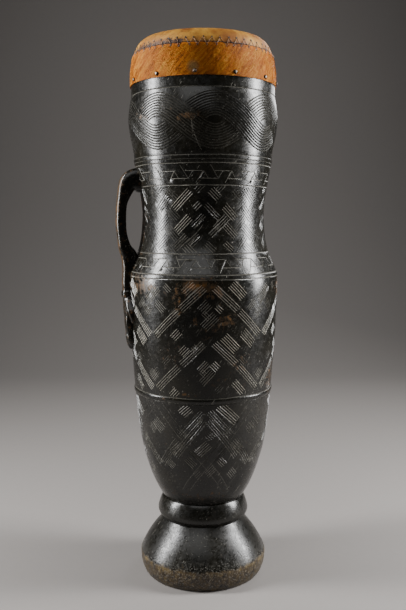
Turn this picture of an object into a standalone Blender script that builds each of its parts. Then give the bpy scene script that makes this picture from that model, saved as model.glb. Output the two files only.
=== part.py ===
# Tall carved pedestal drum: one hollowed log with a ringed foot, a carved body and an arm-shaped
# handle, a rawhide head drawn over its rim, a collar of hide with the hair on, the lacing between
# the two, and a row of dome-headed nails. Metres, +Z up, origin at the middle of the underside.
# The handle points to -X. Heights are stacked from the floor up.

import math

import bmesh
import bpy
from mathutils import Vector
from mathutils.geometry import delaunay_2d_cdt

# Round work
SIDES = 32
HOLLOW_SIDES = 16
FIT_GAP = 0.0003
WELD = 0.00001

# Foot
FOOT_BAND_HEIGHT = 0.0435
FOOT_FLARE_HEIGHT = 0.0775
UNDERSIDE_RADIUS = 0.126
FOOT_EDGE_RADIUS = 0.1372
PINCH_RADIUS = 0.0885

# Bead between foot and bowl
BEAD_HEIGHT = 0.048
BEAD_RADIUS = 0.0985
BOWL_BOTTOM_RADIUS = 0.0868

# Bowl, raised ring and belly
BOWL_HEIGHT = 0.2333
RING_RADIUS = 0.1463
RING_HEIGHT = 0.009
RING_PROUD = 0.0018
BELLY_HEIGHT = 0.2397
BELLY_RADIUS = 0.159
SHOULDER_LIP_HEIGHT = 0.0083

# Strips of triangles below and above the neck
LOWER_STRIP_HEIGHT = 0.0404
LOWER_STRIP_RADIUS = 0.1388
NECK_HEIGHT = 0.1336
NECK_RADIUS = 0.1285
UPPER_STRIP_HEIGHT = 0.0422
UPPER_STRIP_RADIUS = 0.1425
LEDGE_HEIGHT = 0.0147
LEDGE_RADIUS = 0.1452

# Knotwork band and bare rim
KNOT_BAND_HEIGHT = 0.1275
KNOT_BAND_RADIUS = 0.1553
RIM_HEIGHT = 0.0214
RIM_RADIUS = 0.1493

# Seats of the collar and of the head, and the rounded top of the log
COLLAR_SEAT_HEIGHT = 0.0246
HEAD_SEAT_HEIGHT = 0.0373
SHOULDER_HEIGHT = 0.0267
HEAD_SEAT_TOP_RADIUS = 0.1406
LIP_RADIUS = 0.1236

# Hides and nails
HEAD_THICKNESS = 0.0018
COLLAR_THICKNESS = 0.0022
LACING_DIAMETER = 0.0022
NAIL_COUNT = 12
NAIL_PHASE = math.radians(-6.0)
NAIL_HEAD_RADIUS = 0.0036
NAIL_HEAD_RISE = 0.002
NAIL_SHANK_CORNERS = 0.0024
NAIL_DEPTH = 0.009
NAIL_FIT = 0.0004
NAIL_ROW_ABOVE_HEM = 0.006

# Hollow
WALL = 0.018
FLOOR_ABOVE_BEAD = 0.022
MOUTH_RADIUS = 0.118

# Cuts
RING_CUT_HALF = 0.0016
RING_CUT_DEPTH = 0.0016
CUT_HALF = 0.0024
CUT_DEPTH = 0.0020
CUT_MARGIN = 0.0012

# Patterns, counted round the girth; FACE is the side with the fullest carving
FACE = math.radians(-103.0)
KNOTS = 8
KNOT_PHASE = math.radians(9.0)
KNOT_STRAND = 0.050
KNOT_EYE = 0.0075
KNOT_LINES = 2
KNOT_PIECES = 5
TRIANGLES = 15
UPPER_TRIANGLE_PHASE = 0.0
LOWER_TRIANGLE_PHASE = math.radians(-5.4)
TRIANGLE_HALF_BASE = 0.009
WEAVE_REPEATS = 20
WEAVE_ROWS = 7
WEAVE_PHASE = math.radians(-37.4)
WEAVE_BUNDLE = 0.020
WEAVE_DROP = 0.0065
CHEVRONS = 4
CHEVRON_PHASE = math.radians(4.5)
CHEVRON_ROWS = 2
CHEVRON_ROW_STEP = 0.110
CHEVRON_DROP = 0.115
CHEVRON_FIRST = 0.0065
CHEVRON_BUNDLE = 0.0105
BOWL_CHEVRON_CUTS = (0.010, 0.022)
BOWL_CHEVRON_SHARE = 0.58
INNER_CHEVRON_FIRST = 0.036
INNER_CHEVRON_REACH = 0.040
SQUARE_KNOT = 0.026

# Straight strokes beside the chevrons: across from the peak, down from the row's top, and the lean
BELLY_STROKES = ((-0.052, 0.066, 1), (0.048, 0.068, -1), (0.088, 0.055, -1))
BELLY_STROKE_LENGTH = 0.030
BOWL_STROKES = ((-0.085, 0.026, -1), (0.085, 0.026, 1), (-0.010, 0.095, 1), (0.030, 0.130, -1))
BOWL_STROKE_LENGTH = 0.034

# Arm-shaped handle, at HANDLE round the drum: it springs from the upper strip, bows out past the
# neck, and lies down the belly with its hand spread
HANDLE = math.pi
ARM_WIDTH = 0.032
ARM_THICKNESS = 0.0215
ARM_REACH = 0.057
ROOT_DEPTH = 0.054
FOREARM_PROUD = 0.0160
BRACELET_PROUD = 0.0030
BRACELET_WIDTH = 0.012
WRIST_BELOW_SHOULDER = 0.047
ARM_SINK = 0.008
HAND_WIDTH = 0.042
HAND_LENGTH = 0.114
PALM_LENGTH = 0.054
FINGER_COUNT = 4
FINGER_PROUD = 0.0125
THUMB_LENGTH = 0.046

# Heights of the breaks, from the floor up
foot_edge = FOOT_BAND_HEIGHT
pinch = foot_edge + FOOT_FLARE_HEIGHT
bead_top = pinch + BEAD_HEIGHT
ring_low = bead_top + BOWL_HEIGHT
ring_high = ring_low + RING_HEIGHT
belly_high = ring_high + BELLY_HEIGHT
shoulder = belly_high + SHOULDER_LIP_HEIGHT
neck_low = shoulder + LOWER_STRIP_HEIGHT
neck_high = neck_low + NECK_HEIGHT
strip_high = neck_high + UPPER_STRIP_HEIGHT
ledge = strip_high + LEDGE_HEIGHT
knot_high = ledge + KNOT_BAND_HEIGHT
collar_hem = knot_high + RIM_HEIGHT
head_hem = collar_hem + COLLAR_SEAT_HEIGHT
seam = head_hem + HEAD_SEAT_HEIGHT
log_top = seam + SHOULDER_HEIGHT
hollow_floor = bead_top + FLOOR_ABOVE_BEAD


def smooth_curve(stations):
    """Radius at any height, as a monotone cubic through (height, radius) stations."""
    heights = [height for height, radius in stations]
    radii = [radius for height, radius in stations]
    steps = [b - a for a, b in zip(heights, heights[1:])]
    slopes = [(b - a) / step for a, b, step in zip(radii, radii[1:], steps)]
    tangents = [slopes[0]]
    for left, right in zip(slopes, slopes[1:]):
        tangents.append(0.0 if left * right <= 0 else 2 * left * right / (left + right))
    tangents.append(slopes[-1])

    def radius_at(height):
        index = 0
        while index < len(steps) - 1 and height > heights[index + 1]:
            index += 1
        t = min(max((height - heights[index]) / steps[index], 0.0), 1.0)
        run = steps[index]
        return (radii[index] * (1 + 2 * t) * (1 - t) ** 2 + tangents[index] * run * t * (1 - t) ** 2
                + radii[index + 1] * t * t * (3 - 2 * t) + tangents[index + 1] * run * t * t * (t - 1))

    return radius_at


def between(low, high, share):
    return low + (high - low) * share


def shaped(low, high, start, end, shares):
    """Stations of one section: shares of its height, with shares of its change of radius."""
    return [(between(low, high, along), between(start, end, across)) for along, across in shares]


def foot_radius(height):
    band = shaped(0, foot_edge, UNDERSIDE_RADIUS, FOOT_EDGE_RADIUS, [(0, 0), (0.28, 0.62), (0.7, 1)])
    flare = shaped(foot_edge, pinch, FOOT_EDGE_RADIUS, PINCH_RADIUS,
                   [(0, 0), (0.21, 0.09), (0.41, 0.27), (0.66, 0.61), (0.86, 0.89), (1, 1)])
    return smooth_curve(band + flare)(height)


def bead_radius(height):
    """The bead is a part of a circle's edge between two sharp pinches."""
    share = (height - pinch) / BEAD_HEIGHT
    base = between(PINCH_RADIUS, BOWL_BOTTOM_RADIUS, share)
    crown = BEAD_RADIUS - between(PINCH_RADIUS, BOWL_BOTTOM_RADIUS, 0.5)
    return base + crown * math.sqrt(max(0.0, 1 - (2 * share - 1) ** 2))


bowl_stations = shaped(bead_top, ring_low, BOWL_BOTTOM_RADIUS, RING_RADIUS,
                       [(0, 0), (0.07, 0.165), (0.155, 0.33), (0.305, 0.553),
                        (0.477, 0.737), (0.65, 0.855), (0.86, 0.955), (1, 1)])
belly_stations = shaped(ring_high, belly_high, RING_RADIUS, BELLY_RADIUS,
                        [(0.2, 0.33), (0.45, 0.65), (0.62, 0.78), (0.8, 0.9), (0.93, 1), (1, 0.97)])
lip_stations = [(shoulder, BELLY_RADIUS - 0.0025)]
lower_strip_stations = shaped(shoulder, neck_low, BELLY_RADIUS, LOWER_STRIP_RADIUS,
                              [(0.31, 0.42), (0.76, 0.84), (1, 1)])
neck_stations = shaped(neck_low, neck_high, LOWER_STRIP_RADIUS, NECK_RADIUS,
                       [(0.08, 0.33), (0.3, 0.8), (0.56, 1), (0.8, 0.8), (1, 0.38)])
upper_strip_stations = shaped(neck_high, strip_high, NECK_RADIUS, UPPER_STRIP_RADIUS, [(0.6, 0.77), (1, 1)])
body_radius = smooth_curve(bowl_stations + belly_stations + lip_stations + lower_strip_stations
                           + neck_stations + upper_strip_stations)
ledge_radius = smooth_curve([(strip_high, UPPER_STRIP_RADIUS), (ledge, LEDGE_RADIUS)])
knot_radius = smooth_curve(shaped(ledge, knot_high, LEDGE_RADIUS, KNOT_BAND_RADIUS,
                                  [(0, -0.17), (0.12, 0.05), (0.23, 0.29), (0.43, 0.77), (0.63, 1),
                                   (0.86, 0.73), (1, 0.4)]))
rim_radius = smooth_curve([(knot_high, knot_radius(knot_high)), (collar_hem, RIM_RADIUS)])

# Under the hides: the wood sinks by the thickness of what lies on it
collar_seat_radius = RIM_RADIUS + 0.001 - COLLAR_THICKNESS - FIT_GAP
head_hem_radius = collar_seat_radius - HEAD_THICKNESS - FIT_GAP
head_seat_radius = smooth_curve([(head_hem, head_hem_radius), (seam, HEAD_SEAT_TOP_RADIUS)])
shoulder_radius = smooth_curve(shaped(seam, log_top, HEAD_SEAT_TOP_RADIUS, LIP_RADIUS,
                                      [(0, 0), (0.2, 0.08), (0.52, 0.3), (0.83, 0.65), (1, 1)]))


def hollow_radius(height):
    """The hollow follows the outside a wall's thickness in, up to the mouth."""
    outside = body_radius if height <= strip_high else knot_radius
    inside = outside(height) - WALL
    share = max(0.0, (height - knot_high) / (log_top - knot_high))
    return between(inside, MOUTH_RADIUS, min(share, 1.0))


class Wall:
    """A closed wall built ring by ring, from a bottom centre over the rim to an inner floor."""

    def __init__(self):
        self.points = []
        self.faces = []
        self.last = []
        self.first = []
        self.centre_below = None

    def add_point(self, angle, radius, height):
        self.points.append((radius * math.cos(angle), radius * math.sin(angle), height))
        return len(self.points) - 1

    def start(self, height):
        self.centre_below = self.add_point(0, 0, height)

    def ring(self, height, radius, sides=SIDES):
        angles = [FACE + math.tau * side / sides for side in range(sides)]
        self.join([(angle, self.add_point(angle, radius, height)) for angle in angles])

    def join(self, ring):
        """Strip of triangles from the last ring to this one; their counts may differ."""
        low, high = self.last, ring
        if not low and self.centre_below is None:
            self.first = ring
        elif not low:
            for (_, here), (_, there) in zip(ring, ring[1:] + ring[:1]):
                self.faces.append((self.centre_below, there, here))
        else:
            low = low + [(low[0][0] + math.tau, low[0][1])]
            high = high + [(high[0][0] + math.tau, high[0][1])]
            i = j = 0
            while i < len(low) - 1 or j < len(high) - 1:
                low_next = low[i + 1][0] if i < len(low) - 1 else math.inf
                high_next = high[j + 1][0] if j < len(high) - 1 else math.inf
                if low_next <= high_next:
                    self.faces.append((low[i][1], low[i + 1][1], high[j][1]))
                    i += 1
                else:
                    self.faces.append((low[i][1], high[j + 1][1], high[j][1]))
                    j += 1
        self.last = ring

    def band(self, cell, repeats, phase):
        """A carved band: one flat cell, bent round the wall and repeated."""
        points, faces, low_edge, high_edge, girth_radius = cell
        low_ring, high_ring = [], []
        for repeat in range(repeats):
            offset = FACE + phase + math.tau * repeat / repeats
            first = len(self.points)
            for x, radius, height in points:
                self.add_point(offset + x / girth_radius, radius, height)
            new_faces = [tuple(first + corner for corner in face) for face in faces]
            low_ring += [(offset + points[i][0] / girth_radius, first + i) for i in low_edge[:-1]]
            high_ring += [(offset + points[i][0] / girth_radius, first + i) for i in high_edge[:-1]]
            self.faces += new_faces
        low_ring, high_ring = from_face(low_ring), from_face(high_ring)
        self.join(low_ring)
        self.last = high_ring

    def close(self):
        """Back to the first ring: the wall is then a hoop and needs no centres."""
        self.join(self.first)

    def finish(self, height):
        centre = self.add_point(0, 0, height)
        for (_, here), (_, there) in zip(self.last, self.last[1:] + self.last[:1]):
            self.faces.append((here, there, centre))


def from_face(ring):
    """The ring's points in order of angle, counted from the face of the drum."""
    turned = [(FACE + (angle - FACE + 1e-9) % math.tau, index) for angle, index in ring]
    return sorted(turned)


def shortened(line, start_gap, end_gap):
    """A polyline with its ends drawn back along its first and last pieces."""
    a, b = Vector(line[0]), Vector(line[1])
    c, d = Vector(line[-1]), Vector(line[-2])
    first = a + (b - a).normalized() * start_gap
    last = c + (d - c).normalized() * end_gap
    return [tuple(first)] + list(line[1:-1]) + [tuple(last)]


def clipped(line, low, high):
    """A straight cut kept between two heights, or None if nothing worth cutting is left."""
    (x0, z0), (x1, z1) = line
    if z0 > z1:
        (x0, z0), (x1, z1) = (x1, z1), (x0, z0)
    start, end = max(z0, low), min(z1, high)
    if end - start < 4 * CUT_HALF:
        return None
    slope = (x1 - x0) / (z1 - z0)
    return [(x0 + slope * (start - z0), start), (x0 + slope * (end - z0), end)]


def cut_outline(line, half):
    """Both sides of a V cut with a pointed end each way, and its bottom line."""
    points = [Vector(point) for point in line]
    directions = [(b - a).normalized() for a, b in zip(points, points[1:])]
    left, right = [], []
    for index, point in enumerate(points):
        before = directions[max(index - 1, 0)]
        after = directions[min(index, len(directions) - 1)]
        along = (before + after).normalized()
        side = Vector((-along.y, along.x)) * (half / max(along.dot(after), 0.5))
        left.append(point + side)
        right.append(point - side)
    start_tip = points[0] - directions[0] * half
    end_tip = points[-1] + directions[-1] * half
    outline = [start_tip] + left + [end_tip] + right[::-1]
    return outline, points


def chip_outline(line, half):
    """A leaf-shaped chip: pointed at both ends, widest and deepest in its middle."""
    start, end = Vector(line[0]), Vector(line[1])
    middle = (start + end) / 2
    along = (end - start).normalized()
    side = Vector((-along.y, along.x)) * half
    return [start, middle + side, end, middle - side], [middle]


def depth_at(x, z, line, half, depth):
    """How deep one cut is at a point: a chip falls away to its ends, a V cut only to its sides."""
    if len(line) > 2:
        return depth * (1 - distance_to_line(x, z, line) / half)
    (ax, az), (bx, bz) = line
    length = math.hypot(bx - ax, bz - az)
    along = abs(((x - (ax + bx) / 2) * (bx - ax) + (z - (az + bz) / 2) * (bz - az)) / length)
    across = abs(((x - ax) * (bz - az) - (z - az) * (bx - ax)) / length)
    return depth * (1 - 2 * along / length - across / half)


def distance_to_line(x, z, line):
    best = math.inf
    for (ax, az), (bx, bz) in zip(line, line[1:]):
        dx, dz = bx - ax, bz - az
        share = ((x - ax) * dx + (z - az) * dz) / (dx * dx + dz * dz)
        share = min(max(share, 0.0), 1.0)
        best = min(best, math.hypot(x - ax - share * dx, z - az - share * dz))
    return best


def carved_cell(repeats, low, high, radius_at, lines, rows):
    """One cell of a carved band, flat: x along the girth and z up, cut to the depth of its lines."""
    girth_radius = radius_at((low + high) / 2)
    span = math.tau * girth_radius / repeats
    columns = max(1, round(SIDES / repeats))
    near = []
    for line, half, depth in lines:
        for shift in (-span, 0.0, span):
            moved = [(x + shift, z) for x, z in line]
            if max(x for x, z in moved) > -2 * half and min(x for x, z in moved) < span + 2 * half:
                near.append((moved, half, depth))

    points, edges = [], []

    def add_chain(chain, closed):
        first = len(points)
        points.extend(Vector((x * 1000, z * 1000)) for x, z in chain)
        count = len(chain)
        edges.extend((first + i, first + (i + 1) % count) for i in range(count if closed else count - 1))

    frame = [(span * i / columns, low) for i in range(columns)]
    frame += [(span, between(low, high, i / rows)) for i in range(rows)]
    frame += [(span * (1 - i / columns), high) for i in range(columns)]
    frame += [(0.0, between(high, low, i / rows)) for i in range(rows)]
    add_chain(frame, True)
    for line, half, depth in near:
        outline, bottom = cut_outline(line, half) if len(line) > 2 else chip_outline(line, half)
        add_chain(outline, True)
        add_chain(bottom, False)
    for row in range(1, rows):
        for column in range(1, columns):
            x, z = span * column / columns, between(low, high, row / rows)
            if all(distance_to_line(x, z, line) > 2.2 * half for line, half, depth in near):
                points.append(Vector((x * 1000, z * 1000)))

    flat_points, _, flat_faces, _, _, _ = delaunay_2d_cdt(points, edges, [], 0, 1e-4)
    inside = []
    for face in flat_faces:
        x = sum(flat_points[i].x for i in face) / 3000
        z = sum(flat_points[i].y for i in face) / 3000
        if 0 < x < span and low < z < high:
            inside.append(face)
    used = sorted({index for face in inside for index in face})
    renumbered = {old: new for new, old in enumerate(used)}

    bent = []
    for old in used:
        x, z = flat_points[old].x / 1000, flat_points[old].y / 1000
        cut = 0.0
        for line, half, depth in near:
            cut = max(cut, depth_at(x, z, line, half, depth))
        slope = (radius_at(z + 0.001) - radius_at(z - 0.001)) / 0.002
        level = math.hypot(1.0, slope)
        bent.append((x, radius_at(z) - cut / level, z + cut * slope / level))
    faces = []
    for face in inside:
        a, b, c = (flat_points[i] for i in face)
        turns_left = (b - a).cross(c - a) > 0
        corners = [renumbered[i] for i in face]
        faces.append(tuple(corners) if turns_left else tuple(reversed(corners)))
    edge_indexes = []
    for height in (low, high):
        on_edge = [new for new, old in enumerate(used) if abs(flat_points[old].y / 1000 - height) < 1e-7]
        edge_indexes.append(sorted(on_edge, key=lambda new: bent[new][0]))
    return bent, faces, edge_indexes[0], edge_indexes[1], girth_radius


def knot_lines(low, high, girth_radius):
    """Two strands of parallel cuts, twisted round a row of eyes, the falling strand on top."""
    span = math.tau * girth_radius / KNOTS
    middle = (low + high) / 2
    swing = KNOT_EYE + KNOT_STRAND / 2
    pitch = KNOT_STRAND / KNOT_LINES

    def strand_point(x, offset):
        angle = math.pi * x / span
        slope = -swing * math.pi / span * math.sin(angle)
        length = math.hypot(1, slope)
        return x - offset * slope / length, middle + swing * math.cos(angle) + offset / length

    over_neighbour = [(-span * i / 24, middle - swing * math.cos(math.pi * i / 24)) for i in range(-4, 29)]
    lines = []
    for index in range(KNOT_LINES):
        offset = (index + 0.5) * pitch - KNOT_STRAND / 2
        start = 0.0
        while start > -0.9 * span:
            x, z = strand_point(start, offset)
            if distance_to_line(x, z, over_neighbour) < KNOT_STRAND / 2 + CUT_MARGIN:
                break
            start -= 0.01 * span
        # The line from the middle of the cell to the end hidden under the next falling strand is
        # the mirror image of the line with the opposite offset.
        end = 0.0
        while end > -0.9 * span:
            x, z = strand_point(end, -offset)
            if distance_to_line(x, z, over_neighbour) < KNOT_STRAND / 2 + CUT_MARGIN:
                break
            end -= 0.01 * span
        end = span - end
        pieces = max(4, round((end - start) / span * KNOT_PIECES))
        lines.append([strand_point(between(start, end, i / pieces), offset) for i in range(pieces + 1)])
    return [(line, CUT_HALF * 1.6, CUT_DEPTH * 1.2) for line in lines]


def triangle_lines(low, high, girth_radius, first_share, second_share):
    """A strip of standing and hanging triangles between two ribbons that interlace with it."""
    period = math.tau * girth_radius / TRIANGLES
    base = TRIANGLE_HALF_BASE
    floor = between(low, high, first_share)
    roof = between(low, high, second_share)
    lean = base / (roof - floor)
    gap = CUT_HALF + CUT_MARGIN
    half = period / 2
    top = high - gap
    bottom = low + gap
    ribbon_edges = [[(half - base - (top - roof) * lean, top), (half, floor)],
                    [(period - base - (floor - bottom) * lean, bottom), (period, roof)]]
    lines = [shortened(line, gap * 0.6, gap * 0.6) for line in ribbon_edges]
    return [(line, CUT_HALF * 1.4, CUT_DEPTH) for line in lines]


def weave_lines(low, high, girth_radius):
    """Bundles plaited over one and under one, rising in one column and falling in the next."""
    half = math.pi * girth_radius / WEAVE_REPEATS
    reach = half - (WEAVE_BUNDLE / 2 + CUT_MARGIN + CUT_HALF) / math.sqrt(2)
    step = (high - low) / WEAVE_ROWS
    middle = (low + high) / 2 - WEAVE_DROP
    lines = []
    for column in (0, 1):
        lean = 1 if column == 0 else -1
        for row in range(-WEAVE_ROWS, WEAVE_ROWS + 1):
            if (row + column) % 2:
                continue
            x, z = column * half, middle + row * step
            line = clipped([(x - reach * lean, z - reach), (x + reach * lean, z + reach)],
                           low + CUT_MARGIN + CUT_HALF, high - CUT_MARGIN - CUT_HALF)
            if line:
                lines.append((line, CUT_HALF * 1.6, CUT_DEPTH))
    return lines


def chevron(span, apex, slope):
    """A zigzag line through the cell: a peak in its middle and valleys at its two sides."""
    middle = span / 2
    return [(middle - span, apex), (0, apex - slope * middle), (middle, apex),
            (span, apex - slope * middle), (middle + span, apex)]


def stroke(x, z, lean, length):
    """One straight cut at 45 degrees: lean 1 rises to the right, -1 falls."""
    half = length / 2 / math.sqrt(2)
    return [(x - half, z - half * lean), (x + half, z + half * lean)]


def with_breaks(line, pieces):
    """Each run of a zigzag split up so that it follows the round wall."""
    points = []
    for (ax, az), (bx, bz) in zip(line, line[1:]):
        points += [(between(ax, bx, i / pieces), between(az, bz, i / pieces)) for i in range(pieces)]
    return points + [line[-1]]


def belly_lines(low, high, girth_radius):
    """Zigzag bundles in rows, with a square knot and strokes between them."""
    span = math.tau * girth_radius / CHEVRONS
    middle = span / 2
    apex = high - CHEVRON_FIRST
    half = CUT_HALF * 1.5
    lines = []
    for row in range(CHEVRON_ROWS):
        top = apex - row * CHEVRON_ROW_STEP
        for side in (-1, 1):
            line = chevron(span, top + side * CHEVRON_BUNDLE / 2, CHEVRON_DROP / middle)
            lines.append((with_breaks(line, 2), CUT_HALF, CUT_DEPTH))
        knot = top - CHEVRON_ROW_STEP / 2
        for lean in (-1, 1):
            for side in (-1, 1):
                offset = side * SQUARE_KNOT / 2
                lines.append((stroke(middle + offset, knot - offset * lean, lean, SQUARE_KNOT),
                              half, CUT_DEPTH))
        for across, down, lean in BELLY_STROKES:
            lines.append((stroke(middle + across, top - down, lean, BELLY_STROKE_LENGTH), half, CUT_DEPTH))
    return lines


def bowl_lines(low, high, girth_radius):
    """Ribbons crossing in lozenges down the bowl, with a second chevron under each peak."""
    span = math.tau * girth_radius / CHEVRONS
    middle = span / 2
    half = CUT_HALF * 1.3
    slope = (high - low) * BOWL_CHEVRON_SHARE / middle
    lines = []
    for offset in BOWL_CHEVRON_CUTS:
        line = chevron(span, high - offset, slope)
        lines.append((with_breaks(line, 2), CUT_HALF, CUT_DEPTH))
    inner = high - INNER_CHEVRON_FIRST
    foot = inner - INNER_CHEVRON_REACH * slope
    lines.append(([(middle - INNER_CHEVRON_REACH, foot), (middle, inner),
                   (middle + INNER_CHEVRON_REACH, foot)], half, CUT_DEPTH))
    for across, down, lean in BOWL_STROKES:
        lines.append((stroke(middle + across, high - down, lean, BOWL_STROKE_LENGTH), half, CUT_DEPTH))
    return lines


def ring_cut(wall, height, radius):
    wall.ring(height, radius - RING_CUT_DEPTH)


def make_log():
    """The whole turned and carved log, without its handle."""
    wall = Wall()
    wall.start(0)
    for share in (0, 0.35, 1):
        wall.ring(foot_edge * share, foot_radius(foot_edge * share))
    for share in (0.25, 0.55, 1):
        height = between(foot_edge, pinch, share)
        wall.ring(height, foot_radius(height))
    for step in range(1, 5):
        height = pinch + BEAD_HEIGHT * (1 - math.cos(math.pi * step / 5)) / 2
        wall.ring(height, bead_radius(height))
    wall.ring(bead_top, BOWL_BOTTOM_RADIUS)
    wall.ring(between(bead_top, ring_low, 0.07), body_radius(between(bead_top, ring_low, 0.07)))

    low, high = between(bead_top, ring_low, 0.16), ring_low - RING_CUT_HALF
    lines = bowl_lines(low, high, body_radius((low + high) / 2))
    wall.band(carved_cell(CHEVRONS, low, high, body_radius, lines, 3), CHEVRONS,
              CHEVRON_PHASE - math.pi / CHEVRONS)
    wall.ring(ring_low, body_radius(ring_low) + RING_PROUD)
    wall.ring(ring_high, body_radius(ring_high) + RING_PROUD)

    low, high = ring_high + RING_CUT_HALF, belly_high - RING_CUT_HALF
    lines = belly_lines(low, high, body_radius((low + high) / 2))
    wall.band(carved_cell(CHEVRONS, low, high, body_radius, lines, 3), CHEVRONS,
              CHEVRON_PHASE - math.pi / CHEVRONS)
    ring_cut(wall, belly_high, body_radius(belly_high))
    wall.ring(belly_high + RING_CUT_HALF, body_radius(belly_high + RING_CUT_HALF))
    wall.ring(shoulder - RING_CUT_HALF, body_radius(shoulder - RING_CUT_HALF))
    ring_cut(wall, shoulder, body_radius(shoulder))

    low, high = shoulder + RING_CUT_HALF, neck_low - RING_CUT_HALF
    lines = triangle_lines(low, high, body_radius((low + high) / 2), 0.34, 0.75)
    wall.band(carved_cell(TRIANGLES, low, high, body_radius, lines, 1), TRIANGLES, LOWER_TRIANGLE_PHASE)
    ring_cut(wall, neck_low, body_radius(neck_low))

    low, high = neck_low + RING_CUT_HALF, neck_high - RING_CUT_HALF
    lines = weave_lines(low, high, body_radius((low + high) / 2))
    wall.band(carved_cell(WEAVE_REPEATS, low, high, body_radius, lines, 1), WEAVE_REPEATS, WEAVE_PHASE)
    ring_cut(wall, neck_high, body_radius(neck_high))

    low, high = neck_high + RING_CUT_HALF, strip_high - RING_CUT_HALF
    lines = triangle_lines(low, high, body_radius((low + high) / 2), 0.28, 0.65)
    wall.band(carved_cell(TRIANGLES, low, high, body_radius, lines, 1), TRIANGLES, UPPER_TRIANGLE_PHASE)
    ring_cut(wall, strip_high, body_radius(strip_high))
    wall.ring(strip_high + RING_CUT_HALF, ledge_radius(strip_high + RING_CUT_HALF))
    wall.ring(ledge, LEDGE_RADIUS)

    low, high = ledge + 2 * RING_CUT_HALF, knot_high - RING_CUT_HALF
    lines = knot_lines(low, high, knot_radius((low + high) / 2))
    wall.band(carved_cell(KNOTS, low, high, knot_radius, lines, 4), KNOTS, KNOT_PHASE)
    ring_cut(wall, knot_high, knot_radius(knot_high))
    wall.ring(knot_high + RING_CUT_HALF, rim_radius(knot_high + RING_CUT_HALF))
    wall.ring(collar_hem - FIT_GAP, RIM_RADIUS)

    wall.ring(collar_hem - FIT_GAP, collar_seat_radius)
    wall.ring(head_hem - FIT_GAP, collar_seat_radius)
    wall.ring(head_hem - FIT_GAP, head_hem_radius)
    wall.ring(seam, HEAD_SEAT_TOP_RADIUS)
    for share in (0.6, 1):
        height = between(seam, log_top, share)
        wall.ring(height, shoulder_radius(height))

    wall.ring(log_top, MOUTH_RADIUS, HOLLOW_SIDES)
    for height in (knot_high, between(ledge, knot_high, 0.5), strip_high, between(neck_low, neck_high, 0.6),
                   neck_low, belly_high, ring_high, between(bead_top, ring_low, 0.5),
                   between(bead_top, ring_low, 0.22)):
        wall.ring(height, hollow_radius(height), HOLLOW_SIDES)
    wall.ring(hollow_floor, hollow_radius(hollow_floor) * 0.82, HOLLOW_SIDES)
    wall.finish(hollow_floor)
    return mesh_object("drum_body", wall.points, wall.faces, wood)


def mesh_object(name, points, faces, material, smooth=True):
    """A mesh whose neighbouring cells share their points."""
    mesh = bpy.data.meshes.new(name)
    mesh.from_pydata(points, [], faces)
    welded = bmesh.new()
    welded.from_mesh(mesh)
    bmesh.ops.remove_doubles(welded, verts=welded.verts, dist=WELD)
    welded.to_mesh(mesh)
    welded.free()
    mesh.materials.append(material)
    if smooth:
        mesh.shade_smooth()
        mesh.set_sharp_from_angle(angle=math.radians(35))
    piece = bpy.data.objects.new(name, mesh)
    bpy.context.collection.objects.link(piece)
    return piece


def paint(name, colour, roughness, metallic=0.0):
    material = bpy.data.materials.new(name)
    material.use_nodes = True
    shader = material.node_tree.nodes["Principled BSDF"]
    shader.inputs["Base Color"].default_value = (*colour, 1.0)
    shader.inputs["Roughness"].default_value = roughness
    shader.inputs["Metallic"].default_value = metallic
    return material


def offset_outline(outline, distance):
    """An outline of (radius, height) points moved outwards by a distance, its last point level."""
    points = [Vector(point) for point in outline]
    directions = [(b - a).normalized() for a, b in zip(points, points[1:])]
    moved = []
    for index, point in enumerate(points):
        before = directions[max(index - 1, 0)]
        after = directions[min(index, len(directions) - 1)]
        along = (before + after).normalized()
        outwards = Vector((-along.y, along.x)) * (distance / along.dot(after))
        moved.append(point + outwards)
    return moved


def make_head():
    """Rawhide over the mouth of the log, shaped over its rounded top down to a hem."""
    log = [(0, log_top), (LIP_RADIUS, log_top)]
    for share in (0.6,):
        height = between(seam, log_top, share)
        log.append((shoulder_radius(height), height))
    log += [(HEAD_SEAT_TOP_RADIUS, seam), (head_hem_radius, head_hem)]
    inner = offset_outline(log, FIT_GAP)
    outer = offset_outline(log, FIT_GAP + HEAD_THICKNESS)
    shell = Wall()
    shell.start(inner[0].y)
    for point in inner[1:] + outer[:0:-1]:
        shell.ring(point.y, point.x)
    shell.finish(outer[0].y)
    return mesh_object("head_skin", shell.points, shell.faces, rawhide)


def head_outer_radius(height):
    return head_seat_radius(height) + HEAD_THICKNESS + FIT_GAP


collar_top = seam - LACING_DIAMETER - 2 * FIT_GAP
collar_inner = [(collar_hem, collar_seat_radius + FIT_GAP), (head_hem, collar_seat_radius + FIT_GAP),
                (collar_top, head_outer_radius(collar_top) + 1.5 * FIT_GAP)]
collar_outer_radius = collar_seat_radius + FIT_GAP + COLLAR_THICKNESS


def make_collar():
    """Hoop of haired hide: level over the bare wood, then leaning in over the head's edge."""
    hoop = Wall()
    for height, radius in collar_inner:
        hoop.ring(height, radius + COLLAR_THICKNESS)
    for height, radius in reversed(collar_inner):
        hoop.ring(height, radius)
    hoop.close()
    return mesh_object("hide_collar", hoop.points, hoop.faces, haired_hide)


def make_lacing():
    """The cord that draws head and collar together, lying in the angle between them."""
    half = LACING_DIAMETER / 2
    height = collar_top + FIT_GAP + half
    radius = head_outer_radius(height - half) + 1.5 * FIT_GAP + half
    cord = Wall()
    for side in range(3):
        angle = math.tau * side / 3
        cord.ring(height + half * math.sin(angle), radius + half * math.cos(angle))
    cord.close()
    return mesh_object("lacing", cord.points, cord.faces, sinew)


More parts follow.
